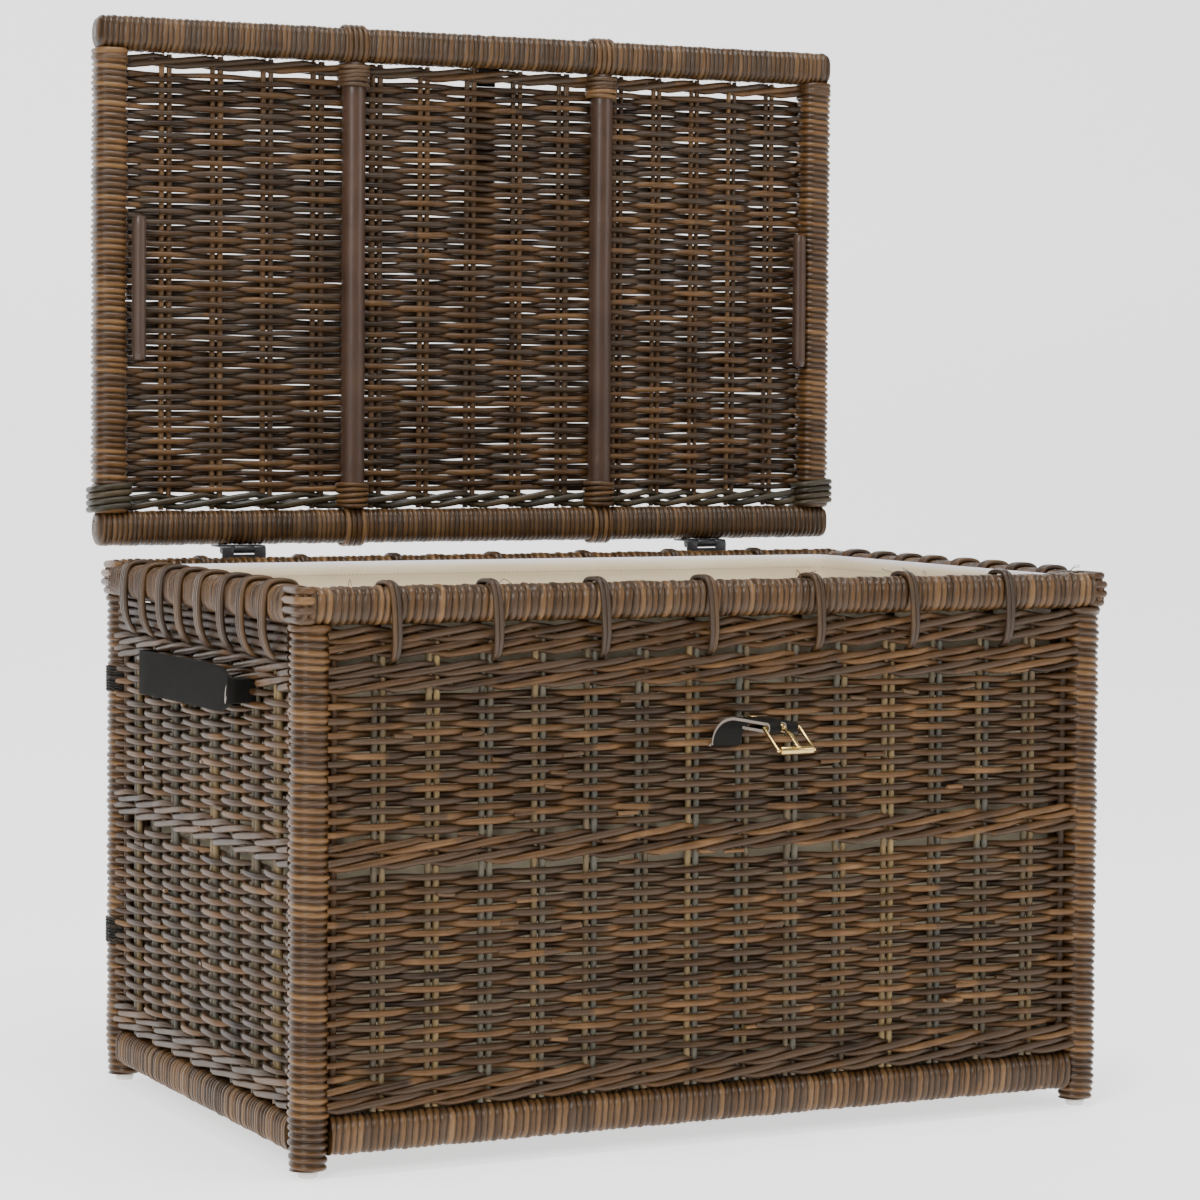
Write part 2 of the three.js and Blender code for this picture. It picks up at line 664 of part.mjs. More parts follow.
function buckleFrame() {
  let frame = solid(rodAlongX(barRadius, -sideBarX, sideBarX, 0, 0, 16));
  frame = frame.add(solid(rodAlongX(barRadius, -sideBarX, sideBarX, -BUCKLE_LENGTH, 0, 16)));
  for (const side of [-1, 1]) {
    frame = frame.add(solid(rodAlongY(barRadius, -BUCKLE_LENGTH, 0, side * sideBarX, 0, 16)));
    for (const y of [0, -BUCKLE_LENGTH]) {
      const knob = new THREE.SphereGeometry(barRadius, 16, 8).translate(side * sideBarX, y, 0);
      frame = frame.add(solid(knob));
    }
  }
  return geometryOf(frame);
}
add("buckle_frame", buckleFrame(), brass, buckle);

function roller() {
  const half = buckleInnerWidth / 2 - SLIDE;
  const outer = rodAlongX(ROLLER_DIAMETER / 2, -half, half, -BUCKLE_LENGTH, 0, 20);
  const bore = rodAlongX(barRadius + SLIDE, -half - 1, half + 1, -BUCKLE_LENGTH, 0, 20);
  return geometryOf(solid(outer).subtract(solid(bore)));
}
add("buckle_roller", roller(), brass, buckle);

// The tongue turns on the heel bar and its tip rests on the roller.
function tongue() {
  const eye = barRadius + GAP + TONGUE_THICKNESS;
  const half = TONGUE_WIDTH / 2;
  const tip = BUCKLE_LENGTH + 2;
  const rest = ROLLER_DIAMETER / 2 + GAP;
  const path = [
    new THREE.Vector2(-eye + TONGUE_THICKNESS / 2, 0),
    new THREE.Vector2(-eye - 3, rest * 0.75),
    new THREE.Vector2(-BUCKLE_LENGTH / 2, rest + TONGUE_THICKNESS / 2),
    new THREE.Vector2(-tip, rest + TONGUE_THICKNESS / 2),
  ];
  const arm = solid(alongX(bandOutline(path, TONGUE_THICKNESS), -half, half));
  const ring = solid(rodAlongX(eye, -half, half, 0, 0, 20));
  const bore = solid(rodAlongX(barRadius + GAP, -half - 1, half + 1, 0, 0, 20));
  return geometryOf(ring.add(arm).subtract(bore));
}
add("buckle_tongue", tongue(), brass, buckle);

// A brass rivet sits on the strap where it levels out.
const rivetY = strapPivotY - LATCH_TURN - RIVET_HEAD_RADIUS;
const rivetBottom = latchZ + LATCH_RISE + STRAP_THICKNESS / 2 + GAP;
const rivetTop = rivetBottom + RIVET_HEAD_THICKNESS;
add("latch_rivet", rodAlongZ(RIVET_HEAD_RADIUS, rivetBottom, rivetTop, LATCH_X, rivetY, 16), brass);

// ---- leather strap on the lid ----

const lidStrapX0 = LID_STRAP_X - STRAP_WIDTH / 2;
const lidStrapX1 = LID_STRAP_X + STRAP_WIDTH / 2;

// The strap's root: it starts under the front rail of the lid, turns up round its outer
// side and ends below its top, held by the two lengths' stitching.
function lidStrapRoot() {
  const z = lidTop - LID_RAIL / 2;
  const around = (grow) =>
    roundedOutline(LID_THICKNESS + 2 * grow, LID_RAIL + 2 * grow, RAIL_ROUND + grow, lidMiddleY, z);
  const ring = solid(alongX(around(GAP + STRAP_THICKNESS), lidStrapX0, lidStrapX1));
  const bent = ring.subtract(solid(alongX(around(GAP), lidStrapX0 - 1, lidStrapX1 + 1)));
  const y1 = lidOuterY + 2 * STRAP_THICKNESS;
  const top = lidTop - LID_STRAP_ROOT_BELOW_TOP;
  const kept = box(lidStrapX0 - 1, lidStrapX1 + 1, lidMiddleY, y1, lidTop - 2 * LID_RAIL, top);
  return geometryOf(bent.intersect(solid(kept)));
}
add("lid_strap_root", lidStrapRoot(), leather);

// Two lengths hang from the root: a short one that folds over the rail and a long one
// with the buckle holes.
const strapPlaneY = lidOuterY + GAP + STRAP_THICKNESS + SLIDE + STRAP_THICKNESS / 2;
const foldZ = lidTop - LID_RAIL / 2;
const frontOfShutLid = lidTop - pinZ - pinY;
const foldLength = rimOuterY - frontOfShutLid + LID_STRAP_CLEARANCE + (lidTop - foldZ);
const longTop = foldZ - foldLength;
const foldRoom = STRAP_THICKNESS / 2 + SLIDE; // so that one length can turn square to the other

function strapPlate(z0, z1) {
  const y0 = strapPlaneY - STRAP_THICKNESS / 2;
  return box(lidStrapX0, lidStrapX1, y0, y0 + STRAP_THICKNESS, z0, z1);
}
add("lid_strap_fold", strapPlate(longTop + foldRoom, foldZ), leather);

function longStrap() {
  let strap = solid(strapPlate(longTop - LID_STRAP_LENGTH, longTop - foldRoom));
  const tipRadius = STRAP_WIDTH / 2;
  const tipZ = longTop - LID_STRAP_LENGTH + tipRadius;
  const y0 = strapPlaneY - STRAP_THICKNESS / 2 - 1;
  const y1 = strapPlaneY + STRAP_THICKNESS / 2 + 1;
  const rest = box(lidStrapX0 - 1, lidStrapX1 + 1, y0, y1, tipZ, longTop + 1);
  const round = rodAlongY(tipRadius, y0, y1, LID_STRAP_X, tipZ, 28);
  strap = strap.intersect(solid(rest).add(solid(round)));
  for (let i = 0; i < LID_STRAP_HOLES; i++) {
    const z = tipZ + tipRadius + i * LID_STRAP_HOLE_PITCH;
    strap = strap.subtract(solid(rodAlongY(LID_STRAP_HOLE_DIAMETER / 2, y0, y1, LID_STRAP_X, z, 14)));
  }
  return geometryOf(strap);
}
add("lid_strap", longStrap(), leather);

const covered = new THREE.Box3().setFromObject(trunk);
trunk.position.y = -(covered.min.y + covered.max.y) / 2;

export default trunk;
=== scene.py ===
# %% [markdown]
# # A rattan storage trunk with its lid open
# The trunk is a frame of wrapped rails and posts with rods woven between them. Everything on
# it is made from three ideas: rods that run in rows, strands that follow a drawn path, and
# rails that are wrapped in strips. Each idea becomes one Geometry Nodes tree here, and the
# pieces are that tree with other sizes. Sizes are in millimetres in the cells below and are
# turned into Blender's metres as each piece is made.

# %% Load the frame
import bpy
import bmesh
import json
import math
import random
import numpy as np
from mathutils import Matrix, Vector, noise

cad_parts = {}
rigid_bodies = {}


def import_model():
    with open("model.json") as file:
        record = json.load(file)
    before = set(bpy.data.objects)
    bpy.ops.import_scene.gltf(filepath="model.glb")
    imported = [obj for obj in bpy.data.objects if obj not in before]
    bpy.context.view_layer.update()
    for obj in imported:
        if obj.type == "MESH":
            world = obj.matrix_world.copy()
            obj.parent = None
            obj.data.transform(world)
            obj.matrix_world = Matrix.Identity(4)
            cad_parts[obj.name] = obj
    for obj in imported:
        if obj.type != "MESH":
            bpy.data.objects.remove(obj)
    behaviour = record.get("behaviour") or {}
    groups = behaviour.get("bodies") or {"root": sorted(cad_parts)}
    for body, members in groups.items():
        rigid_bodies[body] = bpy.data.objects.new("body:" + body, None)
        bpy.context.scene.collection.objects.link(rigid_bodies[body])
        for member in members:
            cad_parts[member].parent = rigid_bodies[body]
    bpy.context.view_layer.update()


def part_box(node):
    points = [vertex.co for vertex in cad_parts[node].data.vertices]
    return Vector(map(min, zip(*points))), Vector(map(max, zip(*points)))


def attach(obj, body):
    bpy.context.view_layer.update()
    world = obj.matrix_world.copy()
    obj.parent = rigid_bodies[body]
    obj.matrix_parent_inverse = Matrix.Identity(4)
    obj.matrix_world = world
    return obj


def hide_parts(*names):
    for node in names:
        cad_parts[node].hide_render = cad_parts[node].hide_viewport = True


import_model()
MM = 0.001

# %% [markdown]
# ## Reading places from the frame
# Every piece takes its place from the box of the part it covers, so nothing is fitted by
# hand. These two helpers give a box's corners, and its middle, in millimetres.

# %% Helpers for places


def corners(node):
    low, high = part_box(node)
    return np.array(low) / MM, np.array(high) / MM


def middle(node):
    low, high = corners(node)
    return (low + high) / 2


print("front wall spans", corners("woven_wall_front")[0].round(1), corners("woven_wall_front")[1].round(1))

# %% [markdown]
# ## The camera
# A long lens from a little above the rim, turned about a quarter to the left, shows the
# front, the left end and the underside of the open lid. A long lens keeps the upright lines
# nearly parallel, as in a catalogue picture.

# %% Camera
body_middle_y = middle("liner")[1]
camera_data = bpy.data.cameras.new("camera")
camera_data.sensor_width = 36
camera_data.lens = 108.1
camera_data.shift_y = -0.059
camera_data.clip_end = 20
camera = bpy.data.objects.new("camera", camera_data)
camera.location = Vector((-1445.4, -2966.9 + body_middle_y, 638.7)) * MM
turn_left = Matrix.Rotation(math.radians(-26.03), 3, "Z")
look_down = Matrix.Rotation(math.radians(90 - 2.08), 3, "X")
roll = Matrix.Rotation(math.radians(0.36), 3, "Z")
camera.rotation_euler = (turn_left @ look_down @ roll).to_euler()
bpy.context.scene.collection.objects.link(camera)
bpy.context.scene.camera = camera
print("camera at", [round(x, 2) for x in camera.location])

# %% [markdown]
# ## Floor and light
# A pale floor that curves up into a backdrop, and glows a little like a light table, keeps
# the ground plain and nearly free of shadow. One large soft lamp from the front left makes
# the bright line along every rod, a second fills the right, and one above lights the liner.
# The sky is a plain white at low strength, so the shadows stay soft.

# %% Floor and lamps


def plain_material(name, colour, roughness=0.8, glow=0.0):
    made = bpy.data.materials.new(name)
    made.use_nodes = True
    shader = made.node_tree.nodes["Principled BSDF"]
    shader.inputs["Base Color"].default_value = (*colour, 1)
    shader.inputs["Roughness"].default_value = roughness
    shader.inputs["Emission Color"].default_value = (1, 1, 1, 1)
    shader.inputs["Emission Strength"].default_value = glow
    return made


floor_mesh = bpy.data.meshes.new("floor")
half_width = 8.0
profile = [(-6.0, 0.0), (3.0, 0.0), (3.6, 0.06), (4.1, 0.24), (4.5, 0.55), (4.75, 1.0), (4.8, 6.0)]
edge_points = [(x, y, z) for y, z in profile for x in (-half_width, half_width)]
strips = [(2 * i, 2 * i + 1, 2 * i + 3, 2 * i + 2) for i in range(len(profile) - 1)]
floor_mesh.from_pydata(edge_points, [], strips)
floor_mesh.polygons.foreach_set("use_smooth", [True] * len(strips))
floor = bpy.data.objects.new("floor", floor_mesh)
floor.data.materials.append(plain_material("floor_paint", (0.88, 0.88, 0.88), glow=1.25))
bpy.context.scene.collection.objects.link(floor)

world = bpy.data.worlds.new("studio")
world.use_nodes = True
world.node_tree.nodes["Background"].inputs[0].default_value = (1, 1, 1, 1)
world.node_tree.nodes["Background"].inputs[1].default_value = 0.4
bpy.context.scene.world = world


def lamp(name, place, target, size, power):
    data = bpy.data.lights.new(name, "AREA")
    data.shape = "RECTANGLE"
    data.size, data.size_y = size
    data.energy = power
    made = bpy.data.objects.new(name, data)
    made.location = place
    made.rotation_euler = (Vector(target) - Vector(place)).to_track_quat("-Z", "Y").to_euler()
    bpy.context.scene.collection.objects.link(made)
    return made


lamp("key", (-2.6, -2.6, 2.2), (0, 0, 0.45), (1.1, 1.5), 105)
lamp("fill", (2.6, -2.2, 1.6), (0, 0, 0.5), (1.4, 1.4), 28)
lamp("top", (0, -0.4, 3.2), (0, 0, 0.3), (1.6, 1.3), 85)

# %% [markdown]
# ## Building node trees by script
# A tree made by hand is a picture of boxes and wires. In a script the same tree is a list of
# short lines, as long as making a node, filling its sockets and wiring it take one call.
# `Tree` does that for geometry and for materials alike. A socket is found by its name among
# those that are switched on, because many nodes keep hidden sockets with the same name.
# `Recipe` adds what a Geometry Nodes tree needs, and `Finish` what a material needs.

# %% The tree helper


class Tree:
    def __init__(self, tree):
        self.tree = tree
        self.sockets = {}

    def feed(self, socket, value):
        if isinstance(value, bpy.types.NodeSocket):
            self.tree.links.new(value, socket)
        else:
            socket.default_value = value

    def node(self, kind, inputs=None, **settings):
        made = self.tree.nodes.new(kind)
        for key, value in settings.items():
            setattr(made, key, value)
        for name, value in (inputs or {}).items():
            found = [s for s in made.inputs if s.name == name and s.enabled]
            self.feed(found[0], value)
        return made

    def out(self, kind, inputs=None, output=None, **settings):
        made = self.node(kind, inputs, **settings)
        found = [s for s in made.outputs if s.enabled and (output is None or s.name == output)]
        return found[0]

    def math(self, operation, *values):
        made = self.tree.nodes.new("ShaderNodeMath")
        made.operation = operation
        for socket, value in zip(made.inputs, values):
            self.feed(socket, value)
        return made.outputs[0]

    def add(self, a, b):
        return self.math("ADD", a, b)

    def times(self, a, b):
        return self.math("MULTIPLY", a, b)

    def vector(self, x=0.0, y=0.0, z=0.0):
        return self.out("ShaderNodeCombineXYZ", {"X": x, "Y": y, "Z": z})

    def split(self, vector):
        return self.node("ShaderNodeSeparateXYZ", {"Vector": vector}).outputs

    def noise(self, place, scale, detail, roughness=0.5):
        inputs = {"Vector": place, "Scale": scale, "Detail": detail, "Roughness": roughness}
        return self.out("ShaderNodeTexNoise", inputs, output="Fac")


class Recipe(Tree):
    """A Geometry Nodes tree with named inputs."""

    def __init__(self, name, sizes, counts):
        super().__init__(bpy.data.node_groups.new(name, "GeometryNodeTree"))
        face = self.tree.interface
        face.new_socket("Geometry", in_out="INPUT", socket_type="NodeSocketGeometry")
        face.new_socket("Geometry", in_out="OUTPUT", socket_type="NodeSocketGeometry")
        self.ids = {}
        kinds = [(k, "Float") for k in sizes] + [(k, "Int") for k in counts] + [("Material", "Material")]
        for key, kind in kinds:
            made = face.new_socket(key, in_out="INPUT", socket_type="NodeSocket" + kind)
            self.ids[key] = made.identifier
        self.given = self.tree.nodes.new("NodeGroupInput").outputs
        self.result = self.tree.nodes.new("NodeGroupOutput")

    def store(self, geometry, name, value):
        inputs = {"Geometry": geometry, "Name": name, "Value": value}
        return self.out("GeometryNodeStoreNamedAttribute", inputs, data_type="FLOAT", domain="POINT")

    def read(self, name):
        return self.out("GeometryNodeInputNamedAttribute", {"Name": name}, data_type="FLOAT")

    def chance(self, ident, seed):
        """A number from 0 to 1 that stays the same for each whole ident."""
        whole = self.out("FunctionNodeFloatToInt", {"Float": ident}, rounding_mode="FLOOR")
        inputs = {"Min": 0.0, "Max": 1.0, "ID": whole, "Seed": seed}
        return self.out("FunctionNodeRandomValue", inputs, data_type="FLOAT")

    def oval(self):
        """The outline of a rod, with the share of the way round it stored as around."""
        inputs = {"Resolution": self.given["Sides"], "Radius": self.given["Radius"]}
        ring = self.out("GeometryNodeCurvePrimitiveCircle", inputs, output="Curve")
        return self.store(ring, "around", self.out("GeometryNodeSplineParameter", output="Factor"))

    def sweep(self, curve, outline):
        inputs = {"Curve": curve, "Profile Curve": outline, "Scale": self.read("thick"), "Fill Caps": True}
        self.finish(self.out("GeometryNodeCurveToMesh", inputs))

    def finish(self, mesh):
        smooth = self.out("GeometryNodeSetShadeSmooth", {"Geometry": mesh})
        real = self.out("GeometryNodeRealizeInstances", {"Geometry": smooth})
        inputs = {"Geometry": real, "Material": self.given["Material"]}
        done = self.out("GeometryNodeSetMaterial", inputs)
        self.tree.links.new(done, self.result.inputs[0])

    def grow(self, name, material, start=None, **values):
        """The tree's result as a plain mesh object, with no modifier left on it."""
        base = bpy.data.objects.new(name + "_start", start or bpy.data.meshes.new(name + "_start"))
        bpy.context.scene.collection.objects.link(base)
        modifier = base.modifiers.new("nodes", "NODES")
        modifier.node_group = self.tree
        modifier[self.ids["Material"]] = material
        for key, value in values.items():
            modifier[self.ids[key.replace("_", " ")]] = value
        graph = bpy.context.evaluated_depsgraph_get()
        mesh = bpy.data.meshes.new_from_object(
            base.evaluated_get(graph), preserve_all_data_layers=True, depsgraph=graph)
        bpy.data.objects.remove(base)
        mesh.name = name
        made = bpy.data.objects.new(name, mesh)
        bpy.context.scene.collection.objects.link(made)
        return made


class Finish(Tree):
    """A material's nodes, with its shader and its Object coordinates at hand."""

    def __init__(self, name):
        self.material = bpy.data.materials.new(name)
        self.material.use_nodes = True
        super().__init__(self.material.node_tree)
        self.shader = self.tree.nodes["Principled BSDF"]
        self.place = self.out("ShaderNodeTexCoord", output="Object")

    def number(self, name):
        """A number that the mesh carries on its points."""
        return self.out("ShaderNodeAttribute", output="Fac", attribute_name=name)

    def ramp(self, factor, colours, places):
        """Runs through the colours, each at its place from 0 to 1."""
        made = self.node("ShaderNodeValToRGB", {"Fac": factor})
        stops = made.color_ramp.elements
        while len(stops) < len(colours):
            stops.new(0.5)
        for stop, colour, place in zip(stops, colours, places):
            stop.position = place
            stop.color = (*colour, 1)
        return made.outputs["Color"]

    def mix(self, factor, first, second):
        blend = self.node("ShaderNodeMix", data_type="RGBA")
        sockets = [s for s in blend.inputs if s.enabled]
        for socket, value in zip(sockets, (factor, first, (*second, 1))):
            self.feed(socket, value)
        return [s for s in blend.outputs if s.enabled][0]

    def bump(self, height, strength, distance):
        inputs = {"Height": height, "Strength": strength, "Distance": distance}
        return self.out("ShaderNodeBump", inputs)

    def done(self, **inputs):
        """Fills the shader's inputs and gives the material."""
        for name, value in inputs.items():
            self.feed(self.shader.inputs[name.replace("_", " ")], value)
        return self.material


print("tree helper ready")

# %% [markdown]
# ## Rattan, from golden to nearly black
# A rattan rod is brown with long fine streaks, and no two rods have quite the same brown:
# some are golden, some grey, some nearly black. So each mesh carries numbers on its points:
# `tone`, one value for each rod, `along`, how far along the rod a point is, `around`, where
# it is round the rod, and on wound rails `deep`, how far down between two strips it is. The
# material picks its brown by tone and stretches a noise along the rod for the streaks, and
# it darkens the colour by `deep`, which is painted shade in the grooves between strips. A
# number that a mesh doesn't hold reads zero. Each kind of rod has five browns from dark to
# light, and the grey that its weathered rods go to.

# %% Rattan material


def rattan(name, browns, grey, roughness, streak=0.5, bump=0.35, coat=0.12, spread=0.6):
    t = Finish(name)
    tone, along, around, deep = [t.number(key) for key in ("tone", "along", "around", "deep")]
    lengthways = t.vector(t.times(along, 28.0), t.times(around, 9.0), t.times(tone, 40.0))
    streaks = t.noise(lengthways, 1.6, 5.0, roughness=0.65)
    blotch = t.noise(t.place, 34.0, 3.0)
    weather = t.noise(t.place, 7.0, 2.0)
    mixed = t.add(t.times(tone, spread), t.times(t.add(blotch, -0.5), 0.75))
    mixed = t.add(mixed, t.times(t.add(streaks, -0.5), streak))
    places = [i / (len(browns) - 1) for i in range(len(browns))]
    brown = t.ramp(t.add(mixed, 0.5 - spread / 2), browns, places)
    turned = t.math("FRACT", t.times(tone, 7.31))
    weathered = t.math("GREATER_THAN", t.add(turned, t.times(t.add(weather, -0.5), 0.8)), 0.66)
    colour = t.mix(t.times(weathered, 0.75), brown, grey)
    # Painted shade: the colour darkens by deep, down in the grooves between the strips of a wound rail. The
    # streaks add grain.
    light = t.times(t.add(0.72, t.times(streaks, 0.56)), t.math("SUBTRACT", 1.0, t.times(deep, 0.9)))
    shade = t.out("ShaderNodeHueSaturation", {"Color": colour, "Value": light, "Saturation": 1.06})
    return t.done(
        Base_Color=shade, Roughness=t.add(roughness - 0.12, t.times(blotch, 0.24)),
        Normal=t.bump(t.add(streaks, t.times(blotch, 0.5)), bump, 0.0006),
        Specular_IOR_Level=0.22, Coat_Weight=coat, Coat_Roughness=0.28)


def darker(browns):
    return [tuple(0.8 * c for c in brown) for brown in browns]


weave_browns = [
    (0.010, 0.0050, 0.0021), (0.031, 0.0150, 0.0058), (0.060, 0.0300, 0.0118), (0.098, 0.0505, 0.0210),
    (0.175, 0.096, 0.044)]
wrap_browns = [
    (0.026, 0.0130, 0.0052), (0.060, 0.0300, 0.0110), (0.088, 0.046, 0.0190), (0.125, 0.068, 0.030),
    (0.19, 0.110, 0.053)]
ring_browns = [
    (0.030, 0.0145, 0.0055), (0.062, 0.0300, 0.0105), (0.100, 0.050, 0.0195), (0.140, 0.074, 0.030),
    (0.20, 0.112, 0.050)]
stake_browns = [
    (0.035, 0.028, 0.018), (0.07, 0.056, 0.036), (0.12, 0.088, 0.048), (0.19, 0.132, 0.062),
    (0.26, 0.185, 0.085)]
dark_browns = [
    (0.012, 0.009, 0.005), (0.022, 0.017, 0.009), (0.036, 0.027, 0.015), (0.055, 0.040, 0.022),
    (0.08, 0.054, 0.028)]
loop_browns = [
    (0.020, 0.011, 0.006), (0.034, 0.019, 0.010), (0.052, 0.029, 0.014), (0.075, 0.042, 0.020),
    (0.11, 0.062, 0.029)]
pole_browns = [
    (0.020, 0.011, 0.007), (0.034, 0.018, 0.011), (0.050, 0.027, 0.017), (0.070, 0.038, 0.024),
    (0.10, 0.058, 0.038)]
weaver_finish = rattan("rattan_weaver", weave_browns, (0.047, 0.029, 0.017), 0.44, coat=0.08)
wrap_finish = rattan("rattan_wrap", wrap_browns, (0.052, 0.031, 0.017), 0.36, spread=0.7)
ring_finish = rattan("rattan_ring", ring_browns, (0.050, 0.028, 0.015), 0.32, coat=0.2, spread=0.65)
fine_finish = rattan("rattan_fine", darker(ring_browns), (0.042, 0.021, 0.010), 0.27, coat=0.3)
stake_finish = rattan("rattan_stake", stake_browns, (0.075, 0.074, 0.060), 0.5, streak=0.3)
dark_finish = rattan("rattan_dark", dark_browns, (0.034, 0.031, 0.022), 0.38, streak=0.35)
loop_finish = rattan("rattan_loop", loop_browns, (0.040, 0.026, 0.017), 0.34, streak=0.4)
pole_finish = rattan("rattan_pole", pole_browns, (0.050, 0.032, 0.023), 0.34, bump=0.15, coat=0.3)
lid_weaver_finish = rattan("rattan_lid_weaver", darker(weave_browns), (0.036, 0.024, 0.015), 0.42, coat=0.1)
lid_wrap_finish = rattan("rattan_lid_wrap", darker(wrap_browns), (0.040, 0.025, 0.014), 0.36, spread=0.5)
print("rattan finishes:", [m.name for m in bpy.data.materials if m.name.startswith("rattan")])

# %% [markdown]
# ## Rods in rows
# Weaving is a rule. A rod goes in front of one pair of stakes and behind the next, and the
# rod above it does the opposite. A band of waling goes in front of two pairs and behind one,
# with three rods in turn, and each rod climbs as it crosses the front, which gives the long
# slanting strokes. Both are one wave: its period counts stake pairs, each row is shifted by a
# part of a period, a bias holds it in front for longer, and a rise makes it climb.
# A grid gives the points: its rows become curves once the edges between rows are deleted,
# the wave moves the points, and a circle is swept along each curve. Straight stakes are the
# same tree with no wave.
# Each rod is made of shorter lengths joined out of sight, so `tone` changes every few pairs.

# %% The tree for rods in rows


def rods_in_rows():
    sizes = ["Length", "Row Gap", "Stake Gap", "First Stake", "Reach", "Period", "Row Shift", "Bias", "Rise",
             "Radius", "Wobble", "Piece Length"]
    r = Recipe("rods_in_rows", sizes, ("Rows", "Rods per Row", "Points", "Sides", "Seed"))
    g = r.given
    last = r.math("SUBTRACT", g["Rows"], 1.0)
    grid = {"Size X": g["Length"], "Size Y": last, "Vertices X": g["Points"], "Vertices Y": g["Rows"]}
    grid = r.out("GeometryNodeMeshGrid", grid)
    ends = r.node("GeometryNodeInputMeshEdgeVertices").outputs
    first, second = r.split(ends["Position 1"]), r.split(ends["Position 2"])
    apart = r.math("ABSOLUTE", r.math("SUBTRACT", first["Y"], second["Y"]))
    cut = {"Geometry": grid, "Selection": r.math("GREATER_THAN", apart, 0.5)}
    lines = r.out("GeometryNodeDeleteGeometry", cut, domain="EDGE", mode="EDGE_FACE")
    rods = r.out("GeometryNodeMeshToCurve", {"Mesh": lines})

    here = r.split(r.out("GeometryNodeInputPosition"))
    x = here["X"]
    rods = r.store(rods, "row", r.math("ROUND", r.add(here["Y"], r.times(last, 0.5))))
    row = r.read("row")

    turns = r.math("DIVIDE", r.math("SUBTRACT", x, g["First Stake"]), r.times(g["Stake Gap"], g["Period"]))
    turns = r.add(turns, r.times(row, g["Row Shift"]))
    swing = r.add(r.math("COSINE", r.times(turns, 2 * math.pi)), g["Bias"])
    swing = r.math("MAXIMUM", r.math("MINIMUM", swing, 1.0), -1.0)
    cube = r.times(r.times(swing, swing), swing)
    wave = r.math("SUBTRACT", r.times(swing, 1.45), r.times(cube, 0.45))
    climb = r.times(r.math("FRACT", r.add(turns, 0.25)), 4.0)
    climb = r.math("ABSOLUTE", r.math("SUBTRACT", climb, 2.0))
    climb = r.times(r.math("SUBTRACT", 1.0, climb), g["Rise"])

    group = r.math("FLOOR", r.math("DIVIDE", r.add(row, 0.01), g["Rods per Row"]))
    level = r.times(group, g["Row Gap"])
    spot = r.vector(r.times(x, 1 / 60.0), r.times(row, 3.7), r.times(g["Seed"], 1.0))
    drift = r.node("ShaderNodeTexNoise", {"Vector": spot, "Scale": 1.0, "Detail": 1.0}).outputs["Color"]
    drift = r.split(drift)
    level = r.add(level, r.times(r.add(drift["X"], -0.5), r.times(g["Wobble"], 3.0)))
    depth = r.times(r.add(drift["Y"], -0.5), r.times(g["Wobble"], 2.0))
    depth = r.add(r.times(g["Reach"], wave), depth)
    place = r.vector(x, depth, r.add(level, climb))
    rods = r.out("GeometryNodeSetPosition", {"Geometry": rods, "Position": place})

    shift = r.times(r.chance(row, g["Seed"]), 9.0)
    piece = r.math("FLOOR", r.add(r.math("DIVIDE", x, g["Piece Length"]), shift))
    rods = r.store(rods, "tone", r.chance(r.add(r.times(row, 61.0), piece), r.math("ADD", g["Seed"], 11.0)))
    rods = r.store(rods, "along", r.add(r.times(x, 0.001), row))
    rods = r.store(rods, "thick", r.add(0.74, r.times(drift["Z"], 0.52)))
    r.sweep(rods, r.oval())
    return r


rows_recipe = rods_in_rows()
print("inputs:", list(rows_recipe.ids))

# %% [markdown]
# ## From a flat drawing to a wall
# The tree draws in its own plane: x along the wall towards the viewer's left, y out of the
# wall and z up. `stand` turns that plane onto a face of the trunk. The three directions stay
# right-handed, so that faces keep pointing outwards.

# %% Placing and joining

ACROSS = {"front": (-1, 0, 0), "back": (1, 0, 0), "left": (0, 1, 0), "right": (0, -1, 0)}
OUTWARD = {"front": (0, -1, 0), "back": (0, 1, 0), "left": (-1, 0, 0), "right": (1, 0, 0)}


def stand(piece, origin, across, outward, up=(0, 0, 1)):
    turn = Matrix((across, outward, up)).transposed().to_4x4()
    scale = Matrix.Scale(MM, 4)
    piece.data.transform(Matrix.Translation(Vector(origin) * MM) @ turn @ scale)
    return piece


def join(pieces, name):
    """One object out of several, keeping their materials and their numbers on points."""
    first = pieces[0]
    with bpy.context.temp_override(active_object=first, selected_editable_objects=pieces):
        bpy.ops.object.join()
    first.name = first.data.name = name
    return first


def triangles(piece):
    return sum(len(p.vertices) - 2 for p in piece.data.polygons)


def report(piece):
    print(f"{piece.name}: {triangles(piece)} triangles")
    return piece


print("faces:", list(ACROSS))

# %% [markdown]
# ## The woven walls
# From the floor up a wall is: a band of waling on the bottom rail, plain weave, a band of
# waling half way up, plain weave, two rounds of waling, a gap where the liner shows through,
# and heavy strands tied to the rim. The heights of the lower weave and the middle band are
# measured up from the wall's foot, and so is the foot of the upper weave. Its top, the upper
# band and the top strands are measured down from the wall's top. The stakes stand in pairs.
# One of a pair is often paler than the other, so the two are made apart with different seeds.

# %% Wall sizes
STAKE_GAP = 48.4
END_STAKE_GAP = 51.0
STAKE_RADIUS = 2.9
STAKE_HALF_PAIR = 3.7
ROW_GAP = 5.8
WEAVER_RADIUS = 2.9
REACH = STAKE_RADIUS + WEAVER_RADIUS
WALE_RADIUS = 3.1
WALE_ROUND = 11.4
WALE_RISE = 4.7
LOWER_WEAVE = (29, 197)
MIDDLE_BAND = 199
UPPER_WEAVE = (230, 59)
UPPER_BAND = 56
TOP_STRANDS = 28
INTO_POSTS = 12
LONG_WALL, END_WALL = (14, STAKE_GAP), (8, END_STAKE_GAP)
WALLS = {"front": LONG_WALL, "left": END_WALL, "back": LONG_WALL, "right": END_WALL}
wall_low, wall_high = corners("woven_wall_front")
print("wall from", wall_low[2].round(1), "to", wall_high[2].round(1))

# %% Weave one wall


